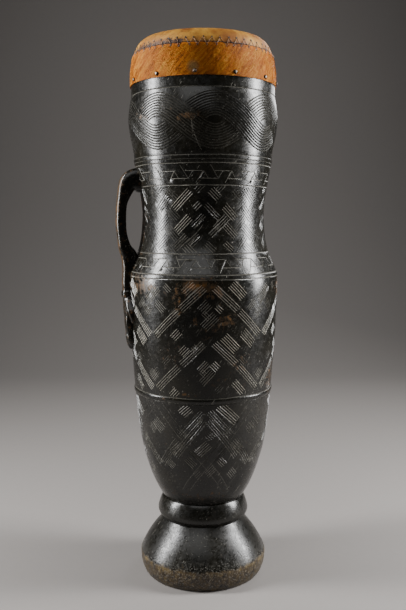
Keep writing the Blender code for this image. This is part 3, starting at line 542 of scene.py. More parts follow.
def straightClipped(centre, lean, length, offset, low, high):
    # One cut of a bundle kept between two heights, or None if little is left
    along = Vector((1, lean)).normalized()
    across = Vector((-along.y, along.x))
    a = Vector(centre) + across * offset - along * length / 2
    b = Vector(centre) + across * offset + along * length / 2
    if a.y > b.y:
        a, b = b, a
    start, end = max(a.y, low), min(b.y, high)
    if end - start < 0.004:
        return None
    slope = (b.x - a.x) / (b.y - a.y)
    return [(a.x + slope * (start - a.y), start), (a.x + slope * (end - a.y), end)]


def weaveCuts(radius, low, high):
    half = math.pi * radius / weave["repeats"]
    step = (high - low) / weave["rows"]
    middle = (low + high) / 2 - weave["drop"]
    length = 2 * (half * math.sqrt(2) - weave["bundle"] / 2 - weave["margin"])
    pitch = weave["bundle"] / weave["cuts"]
    cuts = []

    def addFloat(x, z, lean, length, count, dustAndGlint):
        # The cuts' pale fill, partly dust and partly a painted highlight of their lit walls, fades out towards the
        # sides, where the lamps' highlights lie, so the cuts read dark there
        dustAndGlint *= between(1.0, 0.2, min(max((abs(math.degrees(x / radius)) - 20) / 12, 0.0), 1.0))
        for index in range(count):
            offset = (index - (count - 1) / 2) * pitch
            trim = length + chisel.uniform(-0.0020, 0.0010)
            line = straightClipped((x, z), lean, trim, offset, low + 0.0018, high - 0.0018)
            if line:
                cuts.append(Cut(line, plaited, chisel.uniform(0.7, 1.15), dustAndGlint))

    for column in range(2 * weave["repeats"]):
        degrees = weave["phase"] + column * 180 / weave["repeats"]
        degrees = (degrees + 180) % 360 - 180
        worn = weave["wornFrom"] < degrees < weave["wornTo"]
        lean = 1 if column % 2 == 0 else -1
        for row in range(-weave["rows"], weave["rows"] + 1):
            x, z = math.radians(degrees) * radius, middle + row * step
            taken = worn and any(math.hypot(math.radians(other[0]) * radius - x, other[1] - z) < 0.5 * other[3] + 0.006
                                 for other in neckByEye)
            if (row + column) % 2 == 0 and not taken:
                addFloat(x, z, lean, length, weave["cuts"], 0.24 if worn else 0.26)
    for degrees, z, lean, length, count, dustAndGlint in neckByEye:
        addFloat(math.radians(degrees) * radius, z, lean, length, count, dustAndGlint)
    return cuts


bellyPattern = {
    "cells": 4, "apex": 4.5,          # degrees from the face to the first peak
    "rowTops": (0.6450, 0.5350), "drop": 0.115,
    "pitch": 0.0046, "legCuts": 4,
    "break": 0.0055,                  # bare band where a ribbon crosses the leg
    "breakAt": 0.47,
}

# Each knot is a pinwheel of bundles round a bare square: degrees from the peak and height of its middle, then
# metres right and up from there, lean, length, cuts, pale fill (dust and painted highlight)
bellyKnots = (
    (2.3, 0.5860, ((-0.0150, 0.0110, 1, 0.025, 5, 0.35), (-0.0120, -0.0060, -1, 0.019, 3, 0.30),
                   (-0.0050, -0.0170, 1, 0.036, 5, 0.35), (0.0130, 0.0079, -1, 0.017, 3, 0.75))),
    (-1.1, 0.4714, ((-0.0078, 0.0066, 1, 0.025, 4, 0.55), (-0.0085, -0.0060, -1, 0.014, 3, 0.35),
                    (-0.0005, -0.0145, 1, 0.036, 4, 0.35), (0.0160, 0.0070, -1, 0.018, 4, 0.80))),
)

# Strokes beside the peaks: degrees from the peak, height, lean, length, cuts, pale fill (dust and painted highlight)
bellyStrokes = ((-24.8, 0.5410, 1, 0.023, 4, 0.70), (-18.8, 0.5100, 1, 0.021, 4, 0.75), (16.1, 0.5240, -1, 0.042, 5, 0.95),
                (30.9, 0.5320, -1, 0.040, 5, 0.60), (24.2, 0.4326, -1, 0.036, 4, 0.70), (-27.3, 0.4220, 1, 0.022, 4, 0.65),
                (-14.2, 0.6330, 1, 0.030, 5, 0.45), (21.3, 0.6290, -1, 0.040, 5, 0.80), (-11.0, 0.5170, -1, 0.010, 3, 0.40))

# Finer hatching where the cells meet: degrees from the peak, height, lean, length, cuts, pale fill (dust and painted
# highlight)
bellyHatch = ((-44.0, 0.6200, 1, 0.042, 5, 0.30), (-37.5, 0.5960, -1, 0.028, 4, 0.26), (-51.0, 0.5900, -1, 0.030, 3, 0.22),
              (-31.0, 0.6330, -1, 0.018, 3, 0.30), (-26.0, 0.5860, 1, 0.018, 3, 0.18), (33.5, 0.6000, 1, 0.026, 3, 0.25),
              (41.0, 0.5860, 1, 0.030, 4, 0.22), (46.0, 0.6280, -1, 0.024, 4, 0.22), (45.0, 0.4560, 1, 0.030, 4, 0.25),
              (-46.0, 0.4560, -1, 0.026, 4, 0.25), (-33.0, 0.4880, 1, 0.022, 3, 0.16), (27.0, 0.4880, -1, 0.020, 3, 0.20),
              (8.0, 0.4330, 1, 0.018, 3, 0.16), (-6.0, 0.5180, -1, 0.016, 3, 0.22))
hatched = {**fine, "half": 0.0007, "depth": 0.0007}


def legCuts(fromPoint, toPoint, count, pitch, breakAt, breakHalf, style, dustAndGlint=0.6):
    # Parallel cuts from one point to another with a bare break part of the way along
    a, b = Vector(fromPoint), Vector(toPoint)
    along = (b - a).normalized()
    across = Vector((-along.y, along.x))
    length = (b - a).length
    cuts = []
    for index in range(count):
        offset = (index - (count - 1) / 2) * pitch
        for start, end in ((0.0, breakAt * length - breakHalf), (breakAt * length + breakHalf, length)):
            if end - start < 0.006:
                continue
            p = a + across * offset + along * (start + chisel.uniform(-0.0012, 0.0012))
            q = a + across * offset + along * (end + chisel.uniform(-0.0012, 0.0012))
            cuts.append(Cut([tuple(p), tuple(q)], style, chisel.uniform(0.8, 1.15), dustAndGlint * chisel.uniform(0.7, 1.2)))
    return cuts


def bellyCuts(radius, low, high):
    span = math.tau * radius / bellyPattern["cells"]
    pitch = bellyPattern["pitch"]
    cuts = []
    for cell in range(bellyPattern["cells"]):
        peak = math.radians(bellyPattern["apex"] + cell * 360 / bellyPattern["cells"]) * radius
        for top in bellyPattern["rowTops"]:
            valley = top - bellyPattern["drop"]
            for side in (-1, 1):
                inset = 0.0105
                start = (peak + side * inset, top - inset * bellyPattern["drop"] / (span / 2))
                end = (peak + side * (span / 2 - 0.007), valley + 0.007)
                cuts += legCuts(start, end, bellyPattern["legCuts"], pitch, bellyPattern["breakAt"],
                                bellyPattern["break"] / 2 + fine["half"], fine)
        for across, middle, bundles in bellyKnots:
            for right, up, lean, length, count, dustAndGlint in bundles:
                place = (peak + math.radians(across) * radius + right, middle + up)
                cuts += bundle(place, lean, length, count, pitch, fine, dustAndGlint)
        for across, z, lean, length, count, dustAndGlint in bellyStrokes:
            cuts += bundle((peak + math.radians(across) * radius, z), lean, length, count, pitch, fine, dustAndGlint)
        for across, z, lean, length, count, dustAndGlint in bellyHatch:
            cuts += bundle((peak + math.radians(across) * radius, z), lean, length, count, 0.0042, hatched, dustAndGlint)
    return keptInside(cuts, low, high)


def keptInside(cuts, low, high):
    kept = []
    for cut in cuts:
        gap = cut.half + 0.0012
        (ax, az), (bx, bz) = cut.line[0], cut.line[-1]
        if az > bz:
            (ax, az), (bx, bz) = (bx, bz), (ax, az)
        start, end = max(az, low + gap), min(bz, high - gap)
        if end - start < 0.003:
            continue
        slope = (bx - ax) / (bz - az)
        cut.line = [(ax + slope * (start - az), start), (ax + slope * (end - az), end)]
        kept.append(cut)
    return kept


bowlPattern = {"cells": 4, "apex": 2.9, "peak": 0.3935, "innerPeak": 0.3710, "pitch": 0.0045}

# Strokes of the bowl: degrees from the peak, height, lean, length, cuts, pale fill (dust and painted highlight)
bowlStrokes = ((18.0, 0.3800, -1, 0.052, 5, 0.75), (-17.0, 0.3875, 1, 0.024, 5, 0.70), (-2.9, 0.3064, 1, 0.034, 5, 0.60),
               (14.4, 0.2760, -1, 0.020, 4, 0.50), (28.0, 0.3080, -1, 0.034, 4, 0.40), (-27.0, 0.3040, 1, 0.036, 4, 0.35),
               (3.0, 0.3345, -1, 0.016, 4, 0.35), (-14.0, 0.2760, -1, 0.026, 4, 0.30), (40.0, 0.3420, -1, 0.022, 4, 0.30),
               (-43.0, 0.3500, -1, 0.030, 5, 0.30), (4.0, 0.2560, 1, 0.026, 4, 0.25), (-34.0, 0.2680, -1, 0.022, 4, 0.25),
               (26.0, 0.2480, -1, 0.022, 5, 0.25), (-9.0, 0.2950, -1, 0.024, 4, 0.16), (19.0, 0.3420, 1, 0.022, 4, 0.14),
               (-22.0, 0.3380, -1, 0.022, 4, 0.16), (15.0, 0.3020, 1, 0.022, 4, 0.14), (-8.0, 0.2480, 1, 0.020, 4, 0.15),
               (38.0, 0.2800, 1, 0.022, 4, 0.14))


def bowlCuts(radius, low, high):
    cuts = []
    pitch = bowlPattern["pitch"]
    for cell in range(bowlPattern["cells"]):
        peak = math.radians(bowlPattern["apex"] + cell * 360 / bowlPattern["cells"]) * radius
        for side in (-1, 1):
            far = (peak + side * math.radians(44.0) * radius, 0.266)
            cuts += legCuts((peak + side * 0.006, bowlPattern["peak"] - 0.007), far, 4, pitch, 0.49, 0.008, fine, 0.22)
            inner = (peak + side * math.radians(15.0) * radius, 0.3275)
            cuts += legCuts((peak + side * 0.0045, bowlPattern["innerPeak"] - 0.002), inner, 4, pitch, 2.0, 0.001,
                            fine, 0.34)
            top = (peak + side * math.radians(41.5) * radius, 0.3965)
            foot = (peak - side * math.radians(4.0) * radius, 0.262)
            cuts += legCuts(top, foot, 2, 0.016, 2.0, 0.001, hatched, 0.16)
        for across, z, lean, length, count, dustAndGlint in bowlStrokes:
            cuts += bundle((peak + math.radians(across) * radius, z), lean, length, count, pitch, fine, dustAndGlint * 0.8)
    return keptInside(cuts, low, high)


# How much of a cut's depth is left where hands have worn it: degrees, height, half sizes, depth lost
wornPlaces = ((4.0, 0.770, 16.0, 0.050, 0.50), (8.0, 0.960, 8.0, 0.030, 0.30), (-42.0, 0.615, 12.0, 0.028, 0.35),
              (4.0, 0.452, 16.0, 0.030, 0.40), (20.0, 0.255, 60.0, 0.030, 0.55), (-60.0, 0.235, 90.0, 0.028, 0.60),
              (120.0, 0.235, 90.0, 0.028, 0.60), (74.0, 0.776, 14.0, 0.045, 0.55), (150.0, 0.600, 40.0, 0.060, 0.40))


def blob(degrees, z, place, spread=1.0):
    centre, height, halfAcross, halfUp, strength = place
    turn = (degrees - centre + 180) % 360 - 180
    return strength * math.exp(-(turn / halfAcross / spread) ** 2 - ((z - height) / halfUp / spread) ** 2)


def wornAt(degrees, z):
    return max(0.25, 1 - sum(blob(degrees, z, place) for place in wornPlaces))


def handTurned(x, y, z):
    # The slow wobble of a log that was shaped by adze and eye; none at the floor and at the mouth
    fade = min(1.0, z / 0.03, max(0.0, (at["collarHem"] - z) / 0.03))
    if fade <= 0:
        return x, y, z
    radius = math.hypot(x, y)
    slow = noise.noise_vector((x * 14, y * 14, z * 9 + 3))
    quick = noise.noise_vector((x * 45, y * 45, z * 45 + 7))
    outwards = (slow.x * log["unevenness"] + quick.x * log["unevenness"] * 0.25) * fade
    along = (slow.y + quick.y * 0.35) * log["drift"] * fade
    upward = (slow.z + quick.z * 0.35) * log["drift"] * fade
    angle = math.atan2(y, x) + along / max(radius, 0.02)
    radius += outwards
    return radius * math.cos(angle), radius * math.sin(angle), z + upward


def grooveRing(wall, z, radius, half=0.0014, depth=0.0014):
    wall.ring(z - half, radius(z - half) - 0.0002)
    wall.ring(z, radius(z) - depth, cut=1.0)
    wall.ring(z + half, radius(z + half) - 0.0002)


def makeLogWall():
    wall = Wall()
    wall.start(0)
    for share in (0, 0.05, 0.12, 0.22, 0.35, 0.5, 0.65, 0.8, 0.9, 0.96):
        wall.ring(at["footEdge"] * share, footRadius(at["footEdge"] * share))
    for step in range(0, 15):
        z = between(at["footEdge"], at["pinch"], step / 14)
        wall.ring(z, flareRadius(z) - (0.0006 if step == 14 else 0.0), cut=0.2 if step == 14 else 0.0)
    for step in range(1, 14):
        z = at["pinch"] + (at["beadTop"] - at["pinch"]) * (1 - math.cos(math.pi * step / 14)) / 2
        wall.ring(z, beadRadius(z))
    wall.ring(at["beadTop"], log["beadTop"] - 0.0004)
    for share in (0.02, 0.045, 0.07, 0.10, 0.13):
        z = between(at["beadTop"], at["ringLow"], share)
        wall.ring(z, bodyRadius(z))

    low, high = between(at["beadTop"], at["ringLow"], 0.16), at["ringLow"] - 0.0022
    cuts = bowlCuts(bodyRadius((low + high) / 2), low, high)
    carvedBand(wall, low, high, bodyRadius, cuts, (), carving["longStep"])
    proud = log["ringProud"]
    for z, lift, cut in ((at["ringLow"] - 0.0012, -0.0010, 1.0), (at["ringLow"] - 0.0002, proud * 0.6, 0.0),
                         (at["ringLow"] + 0.0012, proud, 0.0), (at["ringHigh"] - 0.0012, proud, 0.0),
                         (at["ringHigh"] + 0.0002, proud * 0.6, 0.0), (at["ringHigh"] + 0.0012, -0.0010, 1.0)):
        wall.ring(z, bodyRadius(z) + lift, cut=cut)

    low, high = at["ringHigh"] + 0.0022, at["bellyHigh"] - 0.0018
    cuts = bellyCuts(bodyRadius((low + high) / 2), low, high)
    carvedBand(wall, low, high, bodyRadius, cuts, (), carving["longStep"])
    wall.ring(at["bellyHigh"], bodyRadius(at["bellyHigh"]) - 0.0013, cut=1.0)
    for z in (at["bellyHigh"] + 0.0014, at["shoulder"] - 0.0036, at["shoulder"] - 0.0016):
        wall.ring(z, bodyRadius(z) + 0.0003)
    wall.ring(at["shoulder"], bodyRadius(at["shoulder"]) - 0.0013, cut=1.0)

    low, high = at["shoulder"] + 0.0016, at["neckLow"] - 0.0014
    cuts = triangleCuts(bodyRadius((low + high) / 2), low, high, 0.6733, 0.6893, -5.4)
    carvedBand(wall, low, high, bodyRadius, cuts, (), carving["longStep"])
    wall.ring(at["neckLow"], bodyRadius(at["neckLow"]) - 0.0012, cut=1.0)
    low, high = at["neckLow"] + 0.0014, at["neckHigh"] - 0.0014
    cuts = weaveCuts(bodyRadius((low + high) / 2), low, high)
    carvedBand(wall, low, high, bodyRadius, cuts, (), carving["longStep"])
    wall.ring(at["neckHigh"], bodyRadius(at["neckHigh"]) - 0.0012, cut=1.0)

    low, high = at["neckHigh"] + 0.0014, at["stripHigh"] - 0.0014
    cuts = triangleCuts(bodyRadius((low + high) / 2), low, high, 0.8458, 0.8602, 0.0)
    carvedBand(wall, low, high, bodyRadius, cuts, (), carving["longStep"])
    wall.ring(at["stripHigh"], bodyRadius(at["stripHigh"]) - 0.0013, cut=1.0)
    for z, lift in ((at["stripHigh"] + 0.0014, 0.0), (at["stripHigh"] + 0.0062, 0.0001), (at["stripHigh"] + 0.0072, -0.0008),
                    (at["stripHigh"] + 0.0084, 0.0003), (at["ledge"] - 0.0022, 0.0003), (at["ledge"] - 0.0006, -0.0002),
                    (at["ledge"] + 0.0006, -0.0020)):
        wall.ring(z, ledgeRadius(z) + lift, cut=0.6 if lift < -0.0005 else 0.0)

    low, high = at["ledge"] + 0.0022, at["knotHigh"] - 0.0014
    cuts, crests = knotCuts(low, high, knotRadius((low + high) / 2))
    carvedBand(wall, low, high, knotRadius, cuts, crests)
    wall.ring(at["knotHigh"], knotRadius(at["knotHigh"]) - 0.0016, cut=1.0)
    for z in (at["knotHigh"] + 0.0012, at["knotHigh"] + 0.006, at["knotHigh"] + 0.013, at["collarHem"] - 0.0003):
        wall.ring(z, rimRadius(z))

    seat = log["rim"] - 0.0015
    hem = seat - 0.0021
    for z, radius in ((at["collarHem"] - 0.0003, seat), (at["headHem"] - 0.0003, seat), (at["headHem"] - 0.0003, hem),
                      (at["seam"], log["seam"])):
        wall.ring(z, radius, 96)
    for share in (0.3, 0.6, 0.85, 1):
        z = between(at["seam"], at["top"], share)
        wall.ring(z, shoulderRadius(z), 96)
    heights = [at["top"], at["knotHigh"], between(at["ledge"], at["knotHigh"], 0.5), at["stripHigh"],
               between(at["neckLow"], at["neckHigh"], 0.6), at["neckLow"], at["bellyHigh"], at["ringHigh"],
               between(at["beadTop"], at["ringLow"], 0.5), between(at["beadTop"], at["ringLow"], 0.22)]
    for z in heights:
        wall.ring(z, hollowRadius(z), 64)
    floor = at["beadTop"] + log["floorAboveBead"]
    wall.ring(floor, hollowRadius(floor) * 0.82, 64)
    wall.finish(floor)
    return wall


# Brown and ochre places where the dark surface has rubbed through: degrees, height, half sizes, strength
brownPlaces = ((-8.0, 0.6370, 7.0, 0.012, 1.15), (4.0, 0.6430, 6.0, 0.008, 0.9), (-48.5, 0.6343, 8.0, 0.012, 0.9),
               (-17.6, 0.5990, 3.0, 0.018, 0.7), (15.7, 0.5676, 5.5, 0.012, 0.9), (-6.0, 0.5703, 2.0, 0.004, 0.8),
               (9.0, 0.6211, 9.0, 0.009, 0.75), (1.9, 0.5466, 4.5, 0.009, 0.55), (31.2, 0.4864, 6.0, 0.018, 0.45),
               (-26.5, 0.4937, 9.0, 0.022, 0.30), (70.0, 0.4390, 7.0, 0.028, 0.7), (82.0, 0.6250, 12.0, 0.020, 0.7),
               (-49.9, 0.9664, 5.0, 0.005, 0.75), (-9.5, 0.9600, 8.0, 0.007, 0.8), (-76.0, 0.770, 9.0, 0.060, 0.7),
               (-9.6, 0.4188, 7.0, 0.006, 0.4), (11.9, 0.4494, 7.0, 0.007, 0.4), (-35.8, 0.4084, 7.0, 0.004, 0.6),
               (-14.7, 0.1952, 30.0, 0.012, 0.35), (-89.0, 0.6400, 30.0, 0.020, 0.5), (140.0, 0.6350, 24.0, 0.015, 0.7),
               (190.0, 0.8200, 18.0, 0.050, 0.35), (120.0, 0.4700, 20.0, 0.030, 0.4))


def brownAt(x, y, z):
    degrees = math.degrees(math.atan2(y, x) - face)
    found = sum(blob(degrees, z, place, 1.35) for place in brownPlaces)
    patchy = 0.75 + 0.8 * noise.noise((x * 70, y * 70, z * 30))
    # A patchy ochre ring round the edge of the foot, partly wear and partly a painted highlight along that edge; below
    # it the worn foot band
    band = math.exp(-((z - 0.047) / 0.010) ** 2) * 0.62 * max(patchy - 0.45, 0.0) + (0.80 + 0.26 * patchy * z / 0.044 if z < 0.044 else 0.0)
    return found + band


# Materials of the log

wood = {
    "darkest": "#060604", "dark": "#14120b", "brown": "#2a1e0c", "ochre": "#70480f", "olive": "#5c4c26", "dustAndGlint": "#efeadc",
    "mottleSize": 9.0, "patchSize": 60.0, "pitSize": 3.0, "grainWidth": 1.3, "grainLength": 26.0,   # mm
    "scratchWidth": 1.6, "scratchLength": 60.0,
    "roughnessLow": 0.17, "roughnessHigh": 0.31, "pitRoughness": 0.26,
}


def makeBlackenedHardwood():
    # Dense tropical hardwood, blackened and rubbed with palm oil: near black with a deep pitted gloss, brown
    # where the dark skin has worn off, and pale fill in the cuts, partly old dust and partly a painted highlight of
    # their lit walls
    material, tree, shader = newMaterial("blackenedHardwood")
    place = addNode(tree, "TexCoord").outputs["Object"]
    cut = addNode(tree, "Attribute", {"attribute_name": "cut"}).outputs["Fac"]
    brown = addNode(tree, "Attribute", {"attribute_name": "brown"}).outputs["Fac"]
    patches = addNode(tree, "TexNoise", inputs={"Vector": place, "Scale": 1000 / wood["patchSize"], "Detail": 6.0,
                                                "Roughness": 0.6}).outputs["Fac"]
    mottle = addNode(tree, "TexNoise", inputs={"Vector": place, "Scale": 1000 / wood["mottleSize"], "Detail": 6.0,
                                               "Roughness": 0.72}).outputs["Fac"]
    pits = addNode(tree, "TexNoise", inputs={"Vector": place, "Scale": 1000 / wood["pitSize"], "Detail": 3.0,
                                             "Roughness": 0.6}).outputs["Fac"]
    along = addNode(tree, "Mapping", inputs={"Vector": place,
                                             "Scale": (1.0, 1.0, wood["grainWidth"] / wood["grainLength"])})
    grain = addNode(tree, "TexNoise", inputs={"Vector": along.outputs["Vector"], "Scale": 1000 / wood["grainWidth"],
                                              "Detail": 3.0}).outputs["Fac"]
    darkShare = addNode(tree, "MapRange", inputs={"Value": patches, "From Min": 0.35, "From Max": 0.7}).outputs[0]
    base = addNode(tree, "Mix", {"data_type": "RGBA"}, {0: darkShare, 6: toLinear(wood["darkest"]),
                                                        7: toLinear(wood["dark"])}).outputs[2]
    streaks = addNode(tree, "Math", {"operation": "MULTIPLY_ADD"}, {0: grain, 1: 0.7, 2: mottle}).outputs[0]
    bare = addNode(tree, "Math", {"operation": "SUBTRACT", "use_clamp": True}, {0: brown, 1: 1.0}).outputs[0]
    streaks = addNode(tree, "Math", {"operation": "MULTIPLY_ADD"}, {0: bare, 1: 0.7, 2: streaks}).outputs[0]
    ochreShare = addNode(tree, "MapRange", inputs={"Value": streaks, "From Min": 0.84, "From Max": 1.20}).outputs[0]
    # The foot, which has stood on the ground, has worn to a greener brown than the belly
    rise = addNode(tree, "SeparateXYZ", inputs={"Vector": place}).outputs["Z"]
    onGround = addNode(tree, "MapRange", inputs={"Value": rise, "From Min": 0.075, "From Max": 0.055}).outputs[0]
    bareTone = addNode(tree, "Mix", {"data_type": "RGBA"}, {0: onGround, 6: toLinear(wood["ochre"]),
                                                            7: toLinear(wood["olive"])}).outputs[2]
    rubbed = addNode(tree, "Mix", {"data_type": "RGBA"}, {0: ochreShare, 6: toLinear(wood["brown"]),
                                                          7: bareTone}).outputs[2]
    broken = addNode(tree, "Math", {"operation": "MULTIPLY_ADD"}, {0: mottle, 1: 3.0, 2: -1.55}).outputs[0]
    spread = addNode(tree, "Math", {"operation": "MULTIPLY_ADD"}, {0: broken, 1: 1.0, 2: brown}).outputs[0]
    brownShare = addNode(tree, "MapRange", {"interpolation_type": "SMOOTHSTEP"},
                         {"Value": spread, "From Min": 0.34, "From Max": 0.90}).outputs[0]
    worn = addNode(tree, "Mix", {"data_type": "RGBA"}, {0: brownShare, 6: base, 7: rubbed}).outputs[2]
    # Old knocks and drag marks: long, thin and pale, drawn a little wider than real so that they show
    drag = addNode(tree, "Mapping", {"vector_type": "TEXTURE"},
                   {"Vector": place, "Rotation": (0.5, 0.35, 0.8),
                    "Scale": (1.0, 1.0, wood["scratchLength"] / wood["scratchWidth"])})
    marks = addNode(tree, "TexNoise", inputs={"Vector": drag.outputs["Vector"], "Scale": 1000 / wood["scratchWidth"],
                                              "Detail": 1.0}).outputs["Fac"]
    scratched = addNode(tree, "MapRange", inputs={"Value": marks, "From Min": 0.70, "From Max": 0.78,
                                                  "To Max": 0.22}).outputs[0]
    # Pale fill in the cuts: partly dust, partly a painted highlight of the lit groove walls
    dustAndGlint = addNode(tree, "Attribute", {"attribute_name": "dustAndGlint"}).outputs["Fac"]
    inCut = addNode(tree, "MapRange", inputs={"Value": cut, "From Min": 0.25, "From Max": 0.65}).outputs[0]
    # Pale grit caught in the worn foot
    nearFloor = addNode(tree, "MapRange", inputs={"Value": rise, "From Min": 0.066, "From Max": 0.040,
                                                  "To Max": 0.15}).outputs[0]
    grit = addNode(tree, "MapRange", inputs={"Value": pits, "From Min": 0.53, "From Max": 0.68}).outputs[0]
    pale = addNode(tree, "Math", {"operation": "MULTIPLY_ADD"}, {0: grit, 1: nearFloor, 2: scratched}).outputs[0]
    dustAndGlintShare = addNode(tree, "Math", {"operation": "MULTIPLY_ADD"}, {0: inCut, 1: dustAndGlint, 2: pale}).outputs[0]
    dustAndGlintColour = addNode(tree, "Mix", {"data_type": "RGBA"}, {0: dustAndGlintShare, 6: worn, 7: toLinear(wood["dustAndGlint"])}).outputs[2]
    tree.links.new(dustAndGlintColour, shader.inputs["Base Color"])
    gloss = addNode(tree, "MapRange", inputs={"Value": mottle, "From Min": 0.35, "From Max": 0.65,
                                              "To Min": wood["roughnessLow"], "To Max": wood["roughnessHigh"]}).outputs[0]
    wornGloss = addNode(tree, "Math", {"operation": "MULTIPLY_ADD"}, {0: brownShare, 1: 0.16, 2: gloss}).outputs[0]
    # Worms and knocks have pitted the foot; above it the surface is smoother
    onFoot = addNode(tree, "MapRange", inputs={"Value": rise, "From Min": at["beadTop"], "From Max": at["pinch"],
                                               "To Min": 0.12}).outputs[0]
    pit = addNode(tree, "MapRange", inputs={"Value": pits, "From Min": 0.54, "From Max": 0.66, "To Min": 0.06,
                                            "To Max": wood["pitRoughness"]}).outputs[0]
    pitted = addNode(tree, "Math", {"operation": "MULTIPLY"}, {0: pit, 1: onFoot}).outputs[0]
    dull = addNode(tree, "Math", {"operation": "ADD"}, {0: pitted, 1: wornGloss}).outputs[0]
    roughness = addNode(tree, "Math", {"operation": "MULTIPLY_ADD"}, {0: dustAndGlintShare, 1: 0.2, 2: dull}).outputs[0]
    tree.links.new(roughness, shader.inputs["Roughness"])
    relief = addNode(tree, "Math", {"operation": "MULTIPLY_ADD"}, {0: grain, 1: 0.35, 2: pits}).outputs[0]
    lift = addNode(tree, "MapRange", inputs={"Value": onFoot, "To Min": 0.20, "To Max": 0.38}).outputs[0]
    bump = addNode(tree, "Bump", inputs={"Strength": lift, "Distance": 0.0005, "Height": relief})
    tree.links.new(bump.outputs["Normal"], shader.inputs["Normal"])
    return material


blackenedHardwood = makeBlackenedHardwood()


# Arm-shaped handle, carved from the same log

arm = {
    "angle": 180.0, "width": 0.032, "thickness": 0.0215, "reach": 0.057, "rootDepth": 0.054, "proud": 0.0160,
    "sink": 0.008, "bracelet": 0.012, "braceletProud": 0.0030, "wristBelowShoulder": 0.047,
    "hand": 0.042, "handLength": 0.114, "palmLength": 0.054, "fingers": 4, "fingerProud": 0.0125,
    "thumbLength": 0.046, "voxel": 0.0016,
}


def armPoint(radius, across, z):
    turn = math.radians(arm["angle"])
    return Vector((math.cos(turn) * radius - math.sin(turn) * across,
                   math.sin(turn) * radius + math.cos(turn) * across, z))


def roundedBar(form, stations, corners=20, square=0.62):
    # A bar through stations of (radius, height, across, thickness, width), its section a soft square
    path = [Vector((radius, z, across)) for radius, z, across, _, _ in stations]
    fineStations = []
    for index in range(len(stations) - 1):
        for step in range(5):
            t = step / 5
            p0, p1 = stations[max(index - 1, 0)], stations[index]
            p2, p3 = stations[index + 1], stations[min(index + 2, len(stations) - 1)]
            fineStations.append([0.5 * (2 * b + (c - a) * t + (2 * a - 5 * b + 4 * c - d) * t * t
                                        + (3 * b - a - 3 * c + d) * t ** 3)
                                 for a, b, c, d in zip(p0, p1, p2, p3)])
    fineStations.append(list(stations[-1]))
    rings = []
    for index, (radius, z, across, thickness, width) in enumerate(fineStations):
        before, after = fineStations[max(index - 1, 0)], fineStations[min(index + 1, len(fineStations) - 1)]
        along = Vector((after[0] - before[0], after[1] - before[1])).normalized()
        ring = []
        for corner in range(corners):
            turn = math.tau * corner / corners
            c, s = math.cos(turn), math.sin(turn)
            shareAcross = math.copysign(abs(c) ** square, c) / 2
            shareOut = math.copysign(abs(s) ** square, s) / 2
            shareAcross *= 1 - 0.12 * (0.5 - shareOut)
            out = shareOut * thickness
            ring.append(form.verts.new(armPoint(radius - along.y * out, across + shareAcross * width,
                                                z + along.x * out)))
        rings.append(ring)
    for low, high in zip(rings, rings[1:]):
        for index in range(corners):
            after = (index + 1) % corners
            form.faces.new((low[index], low[after], high[after], high[index]))
    form.faces.new(reversed(rings[0]))
    form.faces.new(rings[-1])


def lyingStation(z, proud, across, width):
    skin = bodyRadius(z)
    skin -= across * across / (2 * skin)
    return (skin + (proud - arm["sink"]) / 2, z, across, proud + arm["sink"], width)


